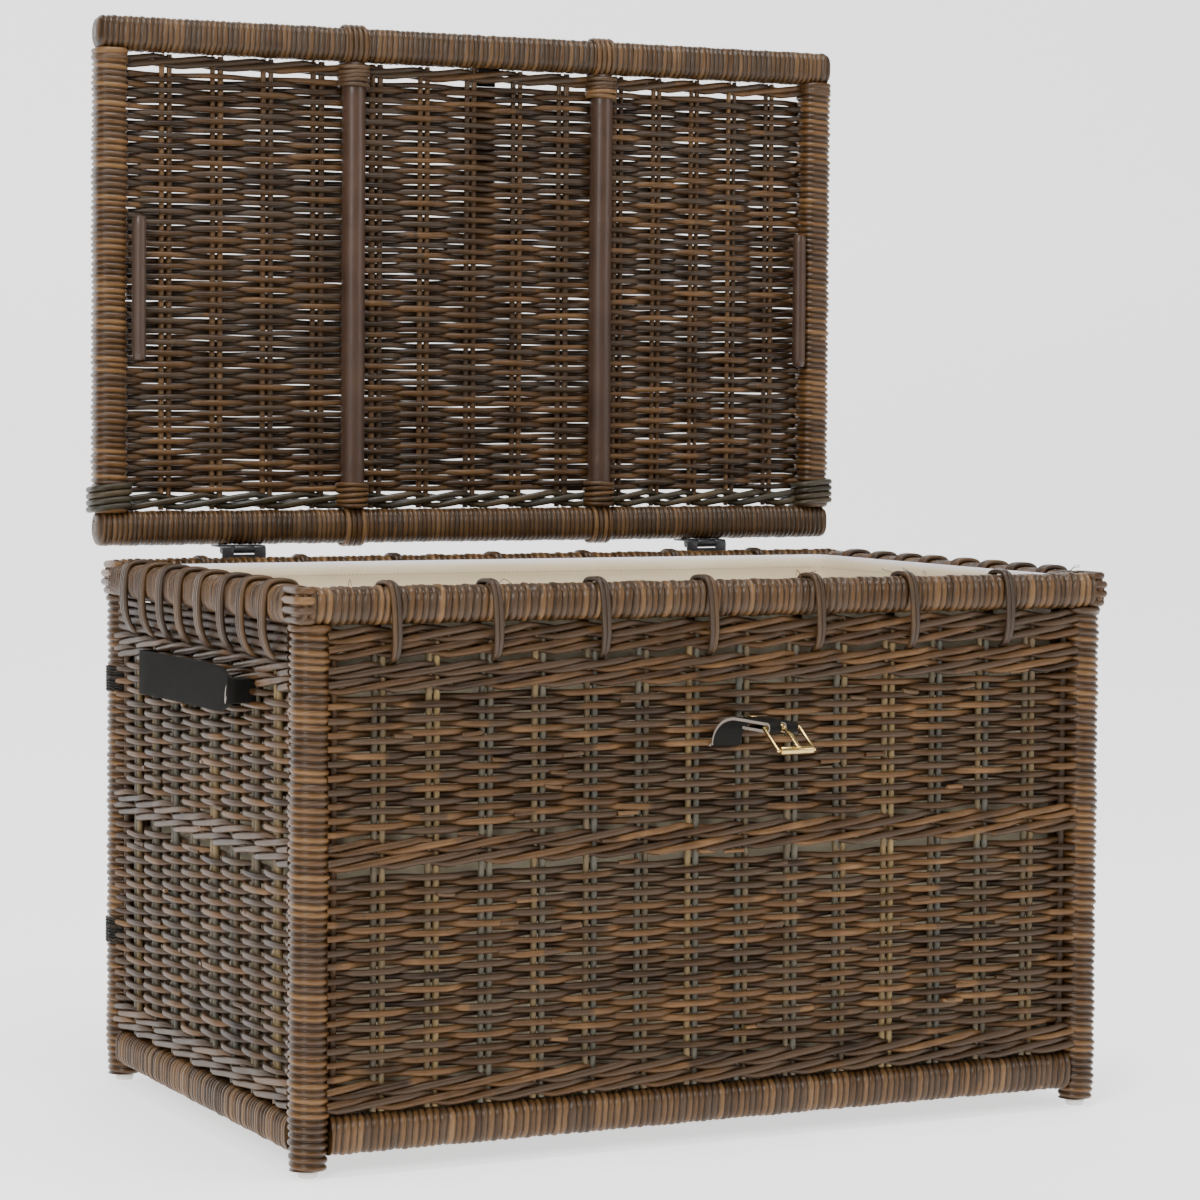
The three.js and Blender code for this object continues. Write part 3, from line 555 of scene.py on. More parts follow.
def weave_rows(name, length, pairs, gap, steps, finish, **sizes):
    """Rods in rows across some stake pairs, with so many points from each pair to the next."""
    return rows_recipe.grow(
        name, finish or weaver_finish, Length=length, Stake_Gap=gap, First_Stake=-gap * (pairs - 1) / 2,
        Points=int(length / gap * steps) + 1, **sizes)


def raise_by(piece, height):
    piece.data.transform(Matrix.Translation((0, 0, height)))
    return piece


def plain_weave(length, pairs, gap, bottom, top, seed, sides=8, radius=WEAVER_RADIUS, row_gap=ROW_GAP,
                wobble=1.2, reach=REACH - 0.3, finish=None):
    made = weave_rows(
        "plain", length, pairs, gap, 8, finish, Rows=int((top - bottom) / row_gap) + 1, Rods_per_Row=1,
        Row_Gap=row_gap, Reach=reach, Period=2.0, Row_Shift=0.5, Radius=radius, Wobble=wobble,
        Piece_Length=190.0, Sides=sides, Seed=seed)
    return raise_by(made, bottom)


def waling(length, pairs, gap, bottom, rounds, seed, finish=None, radius=WALE_RADIUS, rise=WALE_RISE,
           sides=8):
    made = weave_rows(
        "wale", length, pairs, gap, 9, finish, Rows=3 * rounds, Rods_per_Row=3,
        Row_Gap=WALE_ROUND * radius / WALE_RADIUS, Reach=REACH + 0.8, Period=3.0, Row_Shift=1 / 3, Bias=0.45,
        Rise=-rise, Radius=radius, Wobble=0.9, Piece_Length=260.0, Sides=sides, Seed=seed)
    return raise_by(made, bottom + rise + radius)


def stakes(pairs, gap, bottom, top, seed, radius=STAKE_RADIUS, finish=None):
    """Two rods in each pair. They are grown lying down and then turned upright."""
    height = top - bottom
    both = []
    for side in (-1, 1):
        made = rows_recipe.grow(
            "stakes", finish or stake_finish, Length=height, Rows=pairs, Rods_per_Row=1, Row_Gap=gap,
            Stake_Gap=gap, Period=2.0, Radius=radius, Wobble=0.35, Piece_Length=5000.0,
            Points=int(height / 24) + 2, Sides=10, Seed=seed + side)
        sideways = -gap * (pairs - 1) / 2 + side * STAKE_HALF_PAIR
        upright = ((0, 0, 1, sideways), (0, 1, 0, 0), (-1, 0, 0, bottom + height / 2), (0, 0, 0, 1))
        made.data.transform(Matrix(upright))
        both.append(made)
    return both


def settle(piece, body, slot, *nodes):
    """Hangs the piece on the body that it rides on, and hides the nodes that it stands for. The slot is not
    used.
    """
    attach(piece, body)
    if nodes:
        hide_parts(*nodes)
    return report(piece)


def weave_wall(face, pairs, gap, seed, sides):
    low, high = corners("woven_wall_" + face)
    size = high - low
    length = max(size[0], size[1]) + INTO_POSTS
    outward = np.array(OUTWARD[face])
    outer = (low + high) / 2 + outward * min(size[0], size[1]) / 2
    centre = outer - outward * (REACH + WEAVER_RADIUS)
    centre[2] = 0
    bottom, top = low[2], high[2]
    row = (length, pairs, gap)
    walls = join([
        waling(*row, bottom, 2, seed + 1, sides=sides),
        plain_weave(*row, bottom + LOWER_WEAVE[0], bottom + LOWER_WEAVE[1], seed + 2, sides),
        waling(*row, bottom + MIDDLE_BAND, 2, seed + 3, sides=sides),
        plain_weave(*row, bottom + UPPER_WEAVE[0], top - UPPER_WEAVE[1], seed + 4, sides),
        waling(*row, top - UPPER_BAND, 2, seed + 5, sides=sides),
    ], "weave_" + face)
    pieces = [walls, join(stakes(pairs, gap, bottom, top - 6, seed + 6), "stakes_" + face)]
    if face in ("front", "back"):
        pieces.append(waling(*row, top - TOP_STRANDS, 2, seed + 7, radius=3.2, rise=5.4, sides=sides))
        pieces[-1].name = pieces[-1].data.name = "top_strands_" + face
    for piece in pieces:
        stand(piece, centre, ACROSS[face], OUTWARD[face])
        settle(piece, "trunk_body", "rattan")
    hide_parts("woven_wall_" + face)


for number, (face, (pairs, gap)) in enumerate(WALLS.items()):
    weave_wall(face, pairs, gap, 100 * number, 8 if face in ("front", "left") else 7)

# %% [markdown]
# ## Wrapped rails
# A rail is a straight pole with strips wound round it so tightly that the pole can't be seen.
# A tube swept along a line gives the pole. Its surface is then pressed in between the
# strips: the distance along the rail divided by a strip's width counts the strips, the part
# after the comma says where a point is across its strip, and a rounded curve of that part is
# the depth. Adding the angle round the rail to the count winds the strips into a helix. A
# square corner is rounded with a fillet. The same tree makes the posts, which are clad with
# rings of round rod, and the fine peel on the ends of the rim.

# %% The tree for wrapped rails


def wrapped_rail():
    sizes = ["Length", "Width", "Height", "Corner", "Strip", "Bulge", "Power", "Unevenness"]
    r = Recipe("wrapped_rail", sizes, ("Points", "Around", "Seed"))
    g = r.given
    line = r.out("GeometryNodeCurvePrimitiveLine", {"End": r.vector(0.0, 0.0, g["Length"])})
    line = r.out("GeometryNodeResampleCurve", {"Curve": line, "Count": g["Points"]})
    shape = {"Width": g["Width"], "Height": g["Height"]}
    shape = r.out("GeometryNodeCurvePrimitiveQuadrilateral", shape)
    shape = {"Curve": shape, "Radius": g["Corner"], "Limit Radius": True, "Count": 6}
    shape = r.out("GeometryNodeFilletCurve", shape, mode="POLY")
    shape = r.out("GeometryNodeResampleCurve", {"Curve": shape, "Count": g["Around"]})
    shape = r.store(shape, "turn", r.out("GeometryNodeSplineParameter", output="Factor"))
    tube = r.out("GeometryNodeCurveToMesh", {"Curve": line, "Profile Curve": shape, "Fill Caps": True})
    turn = r.read("turn")
    z = r.split(r.out("GeometryNodeInputPosition"))["Z"]
    side = r.times(r.math("SINE", r.times(turn, 2 * math.pi)), 0.6)
    drift = r.noise(r.vector(r.times(z, 1 / 16.0), side, r.times(g["Seed"], 1.7)), 1.0, 2.0)
    count = r.add(r.math("DIVIDE", z, g["Strip"]), turn)
    count = r.add(count, r.times(drift, g["Unevenness"]))
    strip = r.math("FLOOR", count)
    across = r.math("FRACT", count)
    tube = r.store(tube, "tone", r.chance(strip, g["Seed"]))
    tube = r.store(tube, "along", r.add(r.times(turn, 0.12), r.times(strip, 0.37)))
    tube = r.store(tube, "around", across)
    edge = r.math("ABSOLUTE", r.math("SUBTRACT", r.times(across, 2.0), 1.0))
    edge = r.math("POWER", edge, g["Power"])
    sunk = r.times(r.chance(r.add(strip, 900.0), g["Seed"]), 0.45)
    tube = r.store(tube, "depth", r.times(r.add(edge, sunk), r.times(g["Bulge"], -1.0)))
    # deep is kept for the rattan material, which darkens by it as painted shade in the grooves between
    # strips.
    tube = r.store(tube, "deep", r.math("POWER", edge, 1.6))
    push = {"Vector": r.out("GeometryNodeInputNormal", output="Normal"), "Scale": r.read("depth")}
    push = r.out("ShaderNodeVectorMath", push, operation="SCALE")
    r.finish(r.out("GeometryNodeSetPosition", {"Geometry": tube, "Offset": push}))
    return r


rail_recipe = wrapped_rail()


def rail(name, start, axis, outward, length, width, height, corner, strip, bulge, power=2.2,
         unevenness=0.5, around=26, seed=1, finish=None, steps=8):
    """A wrapped rail from start along axis. Width runs across, height runs outward."""
    made = rail_recipe.grow(
        name, finish or wrap_finish, Length=length, Width=width, Height=height, Corner=corner, Strip=strip,
        Bulge=bulge, Power=power, Unevenness=unevenness, Points=int(length / strip * steps), Around=around,
        Seed=seed)
    across = Vector(outward).cross(Vector(axis))
    return stand(made, start, tuple(across), outward, axis)


print("rail inputs:", list(rail_recipe.ids))

# %% [markdown]
# ## The four posts
# Each post is clad with rings of weaver, so its outline is a row of beads. The foot narrows
# a little above its glide.

# %% Posts
RING = 6.1
RING_BULGE = 2.7
FOOT = 26.0
POSTS = ("front_left", "front_right", "back_left", "back_right")


def post(corner_name, seed):
    low, high = corners("post_" + corner_name)
    size = high - low
    centre = (low + high) / 2
    start = (centre[0], centre[1], low[2])
    made = rail("post_rings_" + corner_name, start, (0, 0, 1), (0, 1, 0), size[2], size[0] + 1, size[1] + 1,
                size[0] / 2, RING, RING_BULGE, power=2.0, unevenness=0.35, around=22, seed=seed,
                finish=ring_finish)
    for vertex in made.data.vertices:
        height = vertex.co.z / MM - low[2]
        if height < FOOT:
            narrow = 0.9 + 0.1 * height / FOOT
            vertex.co.x = (centre[0] + (vertex.co.x / MM - centre[0]) * narrow) * MM
            vertex.co.y = (centre[1] + (vertex.co.y / MM - centre[1]) * narrow) * MM
    settle(made, "trunk_body", "rattan", "post_" + corner_name)


for number, corner_name in enumerate(POSTS):
    post(corner_name, 31 + number)

# %% [markdown]
# ## Rim, bottom rails and lid rails
# The front and back rims are wound with half-round strips, the ends of the rim with fine
# peel. The bottom rails carry strips of middling width. The lid's hinged and front rails have
# narrow strips, and its side rails are ringed with weaver like the posts. The front rim and
# the ends sit a little low, which leaves room for the loops over them and for the lid's
# lashings when it is shut.

# %% Rails along the four sides


def rail_for(node, name, strip, bulge, seed, body="trunk_body", slot="peel_wrap", trim=0.0, rounded=0.0,
             sunk=0.0, **winding):
    """Wraps the box of a node. It can be trimmed at its ends, rounded there, and lowered on top."""
    low, high = corners(node)
    high[2] -= sunk
    k = int(np.argmax(high - low))
    low[k] += trim
    high[k] -= trim
    size = high - low
    start = (low + high) / 2
    start[k] = low[k]
    axis = [0, 0, 0]
    axis[k] = 1
    outward = (0, 1, 0) if k != 1 else (1, 0, 0)
    thick = size[1] if k != 1 else size[0]
    wide = size[2] if k != 2 else size[0]
    made = rail(name, tuple(start), tuple(axis), outward, size[k], wide + 0.6, thick + 0.6, 12.0, strip,
                bulge, around=28, seed=seed, **winding)
    if rounded:
        round_ends(made, k, low, high, rounded)
    settle(made, body, slot, node)


def round_ends(piece, k, low, high, reach):
    """Narrows the last few millimetres of a rail, so that its end is rounded."""
    centre = (low + high) / 2
    for vertex in piece.data.vertices:
        place = vertex.co[k] / MM
        depth = min(place - low[k], high[k] - place)
        if depth < reach:
            share = max(0.3, (1 - (1 - max(depth, 0) / reach) ** 2.4) ** 0.5)
            for other in {0, 1, 2} - {k}:
                vertex.co[other] = (centre[other] + (vertex.co[other] / MM - centre[other]) * share) * MM


RIM_TRIM = 3.0
RIM_SUNK = 2.4
long_rim = dict(power=2.4, trim=RIM_TRIM, rounded=6)
end_rim = dict(power=2.0, steps=5, finish=fine_finish, unevenness=0.7, sunk=RIM_SUNK)
lid_wound = dict(body="lid", trim=1, rounded=8, finish=lid_wrap_finish)
lid_ringed = dict(body="lid", power=2.0, finish=ring_finish, slot="rattan")
rail_for("rim_front", "rim_wrap_front", 6.6, 2.7, 51, unevenness=1.3, sunk=RIM_SUNK, **long_rim)
rail_for("rim_back", "rim_wrap_back", 6.6, 2.7, 52, unevenness=1.0, **long_rim)
rail_for("rim_left", "rim_wrap_left", 3.3, 1.5, 53, **end_rim)
rail_for("rim_right", "rim_wrap_right", 3.3, 1.5, 54, **end_rim)
for number, face in enumerate(("front", "back", "left", "right")):
    rail_for("bottom_rail_" + face, "bottom_wrap_" + face, 6.2, 2.1, 61 + number, unevenness=1.0, trim=-2.5)
rail_for("lid_rail_back", "lid_wrap_back", 5.0, 1.7, 71, unevenness=1.0, **lid_wound)
rail_for("lid_rail_front", "lid_wrap_front", 5.4, 1.6, 72, unevenness=1.2, **lid_wound)
rail_for("lid_rail_left", "lid_rings_left", 5.8, 2.6, 73, **lid_ringed)
rail_for("lid_rail_right", "lid_rings_right", 5.8, 2.6, 74, **lid_ringed)

# %% [markdown]
# ## Strands that follow a drawn path
# Lashings, loops and poles each follow a path of their own. The path is drawn as a chain of
# points, and a third tree sweeps an oval along it. The chain carries the tone and the
# thickness at each point, so that a strand can taper or a pole can swell at its nodes.
# Corners are rounded first by cutting them again and again, which is Chaikin's way.

# %% The tree for strands


def strand_sweep():
    r = Recipe("strand_sweep", ["Radius", "Flatness"], ("Sides", "Seed"))
    start = r.tree.nodes["Group Input"].outputs["Geometry"]
    curve = r.out("GeometryNodeMeshToCurve", {"Mesh": start})
    curve = r.store(curve, "along", r.out("GeometryNodeSplineParameter", output="Length"))
    flat = {"Geometry": r.oval(), "Scale": r.vector(1.0, r.given["Flatness"], 1.0)}
    r.sweep(curve, r.out("GeometryNodeTransform", flat))
    return r


strand_recipe = strand_sweep()


def soften(points, closed=False, times=2):
    points = [Vector(p) for p in points]
    for _ in range(times):
        count = len(points)
        cut = []
        for i in range(count if closed else count - 1):
            a, b = points[i], points[(i + 1) % count]
            cut += [a.lerp(b, 0.25), a.lerp(b, 0.75)]
        points = cut if closed else [points[0]] + cut + [points[-1]]
    return points


def strands(name, paths, radius, finish, flatness=1.0, sides=8, closed=False, seed=1, thick=None, tones=None):
    """Sweeps every path in one go. A path is a list of points in millimetres."""
    chance = random.Random(seed)
    mesh = bpy.data.meshes.new(name + "_paths")
    points, edges, tone, width = [], [], [], []
    for number, path in enumerate(paths):
        first = len(points)
        points += [tuple(p) for p in path]
        edges += [(first + i, first + i + 1) for i in range(len(path) - 1)]
        if closed:
            edges.append((first + len(path) - 1, first))
        tone += [tones[number] if tones else chance.random()] * len(path)
        width += thick[number] if thick else [1.0] * len(path)
    mesh.from_pydata(points, edges, [])
    mesh.attributes.new("tone", "FLOAT", "POINT").data.foreach_set("value", tone)
    mesh.attributes.new("thick", "FLOAT", "POINT").data.foreach_set("value", width)
    made = strand_recipe.grow(
        name, finish, start=mesh, Radius=radius, Flatness=flatness, Sides=sides, Seed=seed)
    made.data.transform(Matrix.Scale(MM, 4))
    return made


def ring_round(centre, z, half_x, half_y, power=2.0, rise=0.0, phase=0.6, sides=28):
    """One turn round an upright pole, from a circle (power 2) to nearly square."""
    path = []
    for i in range(sides):
        angle = 2 * math.pi * i / sides
        swell = (abs(math.cos(angle)) ** power + abs(math.sin(angle)) ** power) ** (-1 / power)
        x, y = half_x * swell * math.cos(angle), half_y * swell * math.sin(angle)
        path.append((centre[0] + x, centre[1] + y, z + rise * math.cos(angle + phase)))
    return path


print("strand inputs:", list(strand_recipe.ids))

# %% [markdown]
# ## Loops that tie the rim to the wall
# Every second pair of stakes on the front, and every pair on the ends, a bunch of strands
# comes up behind the rim, goes over it and down in front, and dives into the wall under the
# heavy strands. The path is drawn in the rim's cross-section and repeated along it. It is a
# list of pairs: the distance out from the middle of the trunk, and the height.

# %% Rim loops
FRONT_LOOPS = (-307, -216, -117, -15, 90, 184, 284)
strap_low, strap_high = corners("lid_strap")


def body_offset(face):
    """How far the middle of the body lies from the origin along a face's outward way."""
    return float(np.dot((0, body_middle_y, 0), OUTWARD[face]))


def rim_loop(face, place, count, lean, width=4.2, drop=30.0):
    """Paths of one bunch. place is the distance along the face, in the direction of ACROSS."""
    low, high = corners("rim_" + face)
    out = np.array(OUTWARD[face], float)
    across = np.array(ACROSS[face], float)
    outer = abs(np.dot((low + high) / 2, out) - body_offset(face)) + 15.0
    inner = outer - 30.0
    z0, z1 = low[2], high[2]
    up = [(inner + 7, z0 - drop + 4), (inner - 1.5, z0 - 2), (inner - 1.8, z0 + 14), (inner + 1, z1 - 4)]
    over = [(inner + 8, z1 - 0.2), (outer - 8, z1 - 0.2)]
    down = [(outer - 1, z1 - 4), (outer + 1.8, z0 + 16), (outer + 1.8, z0 - 2), (outer + 0.5, z0 - 14)]
    section = up + over + down + [(outer - 5, z0 - drop + 3), (outer - 16, z0 - drop - 2)]
    paths = []
    for k in range(count):
        side = (k - (count - 1) / 2) * width
        path = []
        for i, (o, z) in enumerate(section):
            run = i / (len(section) - 1)
            gather = 1.0 if run < 0.8 else 1.0 - 0.55 * (run - 0.8) / 0.2
            spot = across * (place + side * gather - lean * (run - 0.45)) + out * (o + body_offset(face))
            path.append((spot[0], spot[1], z))
        paths.append(soften(path))
    return paths


def loop_places(face, bunches, gap, chance):
    """Where each bunch is and how far it leans. In front they keep clear of the lid's strap."""
    for k in range(bunches):
        if face == "front":
            place = FRONT_LOOPS[k] * ACROSS[face][0]
        else:
            place = gap * (k - (bunches - 1) / 2) + chance.uniform(-4, 4)
        if face in ("left", "right"):
            place += body_middle_y * ACROSS[face][1]
        yield place, chance.uniform(4, 11)


for face in ("front", "back", "left", "right"):
    count, bunches, gap = (2, 7, 98.5) if face in ("front", "back") else (3, 8, END_STAKE_GAP)
    paths = []
    for place, lean in loop_places(face, bunches, gap, random.Random(len(face))):
        paths += rim_loop(face, place, count, lean)
    loops = strands("rim_loops_" + face, paths, 2.45, loop_finish, flatness=0.9, seed=len(paths))
    settle(loops, "trunk_body", "peel_wrap")

# %% [markdown]
# ## Straight rods under the ends of the rim
# On the two ends four rods run straight from post to post, behind the loops.

# %% Rods under the rim
for face in ("left", "right"):
    low, high = corners("woven_wall_" + face)
    out = OUTWARD[face][0]
    outer = out * max(abs(low[0]), abs(high[0]))
    paths = []
    for k in range(4):
        z = high[2] - 4 - 7.4 * k
        steps = enumerate(np.linspace(low[1], high[1], 30))
        paths.append([(outer - out * (4.2 + 0.5 * (i % 2)), y, z + 0.6 * math.sin(i + k)) for i, y in steps])
    settle(strands("end_rods_" + face, paths, 3.3, weaver_finish, seed=7, sides=9), "trunk_body", "rattan")

# %% [markdown]
# ## The lid's weave
# The lid is woven like a wall, with thinner rods and wider gaps, so light comes through. Its
# stakes stand in three bays between the battens, so the even spacing of the tree is pulled
# sideways afterwards to meet them.

# %% Lid weave
lid_low, lid_high = corners("lid_woven_panel")
lid_bays = [(-320, -167, 4), (-105, 94, 5), (156, 327, 5)]
lid_places = np.concatenate([np.linspace(a, b, n) for a, b, n in lid_bays])
lid_pairs = len(lid_places)
lid_gap = (lid_places[-1] - lid_places[0]) / (lid_pairs - 1)
lid_even = lid_places[0] + lid_gap * np.arange(lid_pairs)
lid_shift = (lid_places[0] + lid_places[-1]) / 2
lid_width = lid_high[0] - lid_low[0]
lid_centre = (lid_shift, (lid_low[1] + lid_high[1]) / 2, 0)
lid_bottom, lid_top = lid_low[2], lid_high[2]


def to_bays(piece):
    known = np.concatenate([[lid_low[0] - 10], lid_even, [lid_high[0] + 10]])
    wanted = np.concatenate([[lid_low[0] - 10], lid_places, [lid_high[0] + 10]])
    for vertex in piece.data.vertices:
        x = np.interp(vertex.co.x / MM, known, wanted)
        vertex.co.x = min(max(x, lid_low[0] - 8), lid_high[0] + 8) * MM


lid_row = (lid_width + 8, lid_pairs, lid_gap)
lid_weave = join([
    plain_weave(*lid_row, lid_bottom + 19, lid_top - 17, 811, sides=7, radius=2.86, row_gap=5.15,
                wobble=1.25, finish=lid_weaver_finish),
    waling(*lid_row, lid_top - 14.5, 1, 812, radius=3.1, rise=4.2, sides=7, finish=lid_weaver_finish),
], "lid_weave")
lid_dark = waling(*lid_row, lid_bottom - 1, 1, 813, finish=dark_finish, radius=3.3, rise=6.0)
lid_dark.name = lid_dark.data.name = "lid_dark_strands"
lid_stakes = stakes(lid_pairs, lid_gap, lid_bottom, lid_top, 814, radius=2.7, finish=wrap_finish)
lid_stakes = join(lid_stakes, "lid_stakes")
for piece in (lid_weave, lid_dark, lid_stakes):
    stand(piece, lid_centre, ACROSS["front"], OUTWARD["front"])
    to_bays(piece)
    settle(piece, "lid", "rattan")
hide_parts("lid_woven_panel")

# %% [markdown]
# ## Battens and rods
# Two smooth poles stiffen the lid and two short ones keep it in place when it is shut. Two
# more carry the base. A rattan pole has a faint ring at each node, where it is a little
# thicker, so the thickness along the path is one plus a narrow bump at each node.

# %% Poles


def pole(node, name, body, node_gap=118.0, sides=22, seed=3):
    low, high = corners(node)
    size = high - low
    k = int(np.argmax(size))
    radius = float(np.sort(size)[0] / 2)
    chance = random.Random(seed)
    offset = chance.uniform(20, node_gap)
    path, thick = [], []
    steps = int(size[k] / 3)
    for i in range(steps + 1):
        spot = (low + high) / 2
        spot[k] = low[k] + size[k] * i / steps
        nearest = abs((spot[k] - low[k] - offset + node_gap / 2) % node_gap - node_gap / 2)
        swell = 0.045 * math.exp(-(nearest / 4.0) ** 2) - 0.05 * math.exp(-(nearest / 1.4) ** 2)
        end = min(i, steps - i)
        round_off = 1.0 if end > 1 else (0.80, 0.94)[end]
        bend = [noise.noise(Vector((i * 0.02, seed, way))) for way in (0, 9)]
        path.append(tuple(spot + np.array([*bend, 0]) * 0.8))
        thick.append((0.955 + swell) * round_off)
    tones = [chance.uniform(0.3, 0.6)]
    made = strands(name, [path], radius, pole_finish, sides=sides, thick=[thick], tones=tones)
    settle(made, body, "rattan_pole", node)


for number, side in enumerate(("left", "right")):
    pole("lid_batten_" + side, "lid_pole_" + side, "lid", seed=3 + number)
    pole("lid_rod_" + side, "lid_short_pole_" + side, "lid", node_gap=90.0, sides=16, seed=6 + number)
    pole("base_batten_" + side, "base_pole_" + side, "trunk_body", seed=8 + number)

# %% [markdown]
# ## Lashings
# Strips bind each batten to the rails: five turns round the batten, and four strips that go
# from the batten over the rail and back. Each turn is a ring, squeezed against the weave, and
# each strip is a square with its corners cut off and then rounded.

# %% Lashings
TURN_GAP = 4.6
STRIP_GAP = 5.4
CORNER = 9.0


def strip_over(rail_node, x):
    """A closed path round a rail of the lid at one place along it."""
    low, high = corners(rail_node)
    mid = (low + high) / 2
    a, b = (high[1] - low[1]) / 2 + 0.7, (high[2] - low[2]) / 2 + 1.6
    square = [(a, b - CORNER), (a - CORNER, b), (-a + CORNER, b), (-a, b - CORNER)]
    square += [(-a, -b + CORNER), (-a + CORNER, -b), (a - CORNER, -b), (a, -b + CORNER)]
    return soften([(x, mid[1] + y, mid[2] + z) for y, z in square], closed=True, times=1)


lashing_paths, over_paths = [], []
for side in ("left", "right"):
    low, high = corners("lid_batten_" + side)
    x, y = (low[0] + high[0]) / 2, (low[1] + high[1]) / 2 + 1
    for rail_node, base, way in (("lid_rail_back", low[2] + 4, 1), ("lid_rail_front", high[2] - 4, -1)):
        for turn in range(5):
            slant = dict(rise=1.2, phase=turn - math.pi / 2, sides=20)
            lashing_paths.append(ring_round((x, y), base + way * turn * TURN_GAP, 14.2, 13.6, **slant))
        over_paths += [strip_over(rail_node, x + (k - 1.5) * STRIP_GAP) for k in range(4)]
lashings = strands("lashing_turns", lashing_paths, 2.3, wrap_finish, closed=True, seed=21)
settle(lashings, "lid", "peel_wrap")
lashings = strands("lashing_over_rails", over_paths, 2.3, wrap_finish, flatness=0.7, closed=True, seed=22)
settle(lashings, "lid", "peel_wrap")

# %% [markdown]
# ## Corners of the rim and of the walls
# Where the front and back rims meet the end rims, four short rods are bent round the corner
# to cover the cut end of the pole. Three upright rods stand beside each post, one at the end
# of each wall and one in the corner between them, and close the gap where the rows end.

# %% Corner rods and corner stays
corner_paths = []
for face in ("front", "back"):
    low, high = corners("rim_" + face)
    out = OUTWARD[face][1]
    outer_y, inner_y = (high[1], low[1]) if out > 0 else (low[1], high[1])
    for side in (-1, 1):
        end_x = high[0] - RIM_TRIM if side > 0 else low[0] + RIM_TRIM
        for k in range(4):
            z = low[2] + 5.5 + 8.0 * k
            pull = 2.2 if k in (0, 3) else 0.0
            bend = [(7, inner_y - out * 12), (0.6 + pull, inner_y - out * 8),
                    (0.2 + pull, outer_y - out * 10), (2.5 + pull, outer_y - out * (3.2 + pull)),
                    (11, outer_y - out * (1.2 + pull)), (15, outer_y - out * 8)]
            corner_paths.append(soften([(end_x - side * x, y, z) for x, y in bend]))
stay_paths = []
for name in POSTS:
    low, high = corners("post_" + name)
    centre = (low + high) / 2
    way_x, way_y = -np.sign(centre[0]), -np.sign(centre[1] - body_middle_y)
    for off_x, off_y in ((15, 17), (-4, 20), (20, -2)):
        x, y = centre[0] + way_x * off_x, centre[1] + way_y * off_y
        stay_paths.append([(x, y, z) for z in np.linspace(low[2] + 50, high[2] - 6, 12)])
settle(strands("corner_stays", stay_paths, 3.6, weaver_finish, seed=46), "trunk_body", "rattan")
settle(strands("rim_corners", corner_paths, 3.7, ring_finish, seed=44, sides=10), "trunk_body", "rattan")

# %% [markdown]
# ## Rings that close the joints
# A turn of weaver hides the joint between each post and the rim. On each side rail of the
# lid two turns hide the joint at the front end, and one the joint at the hinged end.

# %% Closing rings
closing = {"trunk_body": [], "lid": []}
for name in POSTS:
    low, high = corners("post_" + name)
    closing["trunk_body"].append(ring_round((low + high) / 2, high[2] - 1.0, 15.2, 15.2))
for side in ("left", "right"):
    low, high = corners("lid_rail_" + side)
    for z in (high[2] - 6.0, high[2] - 0.5, low[2] + 1.0):
        closing["lid"].append(ring_round((low + high) / 2, z, 13.6, 13.6, power=3.0))
for body, paths in closing.items():
    rings = strands("closing_rings_" + body, paths, 3.2, ring_finish, closed=True, seed=len(paths))
    settle(rings, body, "rattan")

# %% [markdown]
# ## Dark strands round the foot of the lid
# The dark waling above the hinged rail ends in four turns round each side rail. They are
# nearly square, and pressed in through the thickness of the lid, so that it can shut.

# %% Dark turns
turn_paths = []
for side in ("left", "right"):
    low, high = corners("lid_rail_" + side)
    half_x, half_y = (high[0] - low[0]) / 2 + 1.2, (high[1] - low[1]) / 2 - 0.6
    for turn in range(4):
        z = low[2] + 3 + turn * 6.2
        turn_paths.append(ring_round((low + high) / 2, z, half_x, half_y, power=4.0, rise=2.4))
settle(strands("lid_dark_turns", turn_paths, 3.1, dark_finish, closed=True, seed=25), "lid", "rattan")

# %% [markdown]
# ## The woven base
# The base is a panel of plain weave with thinner rods, laid flat on two poles.

# %% Base
base_low, base_high = corners("base_panel")
base_width, base_depth, _ = base_high - base_low
base_stakes = stakes(14, STAKE_GAP, -base_depth / 2, base_depth / 2, 905, radius=1.9)
base_rows = plain_weave(base_width, 14, STAKE_GAP, -base_depth / 2 + 3, base_depth / 2 - 3, 906, sides=6,
                        radius=1.9, row_gap=4.6, wobble=0.3, reach=3.7)
base = join([base_rows] + base_stakes, "base_weave")
stand(base, middle("base_panel"), (1, 0, 0), (0, 0, -1), (0, 1, 0))
settle(base, "trunk_body", "rattan", "base_panel")

# %% [markdown]
# ## The liner
# The liner is cotton canvas, cut as a cross and sewn up at the four corners, with a hem
# along its top edge. It hangs inside the walls, so it follows them loosely, and its slack
# makes shallow upright folds. It is drawn as rings, each a rectangle with round corners: out
# over the bottom, up the outside, over the hem, down the inside and in over the floor. A ring
# has an inset, a height, and a number for the hem: 1 on its sides and 2 along its top, where
# the cotton gets a painted highlight.

# %% Liner
liner_low, liner_high = corners("liner")
CLOTH = 1.5
HEM = 15.0
RING_POINTS = 300


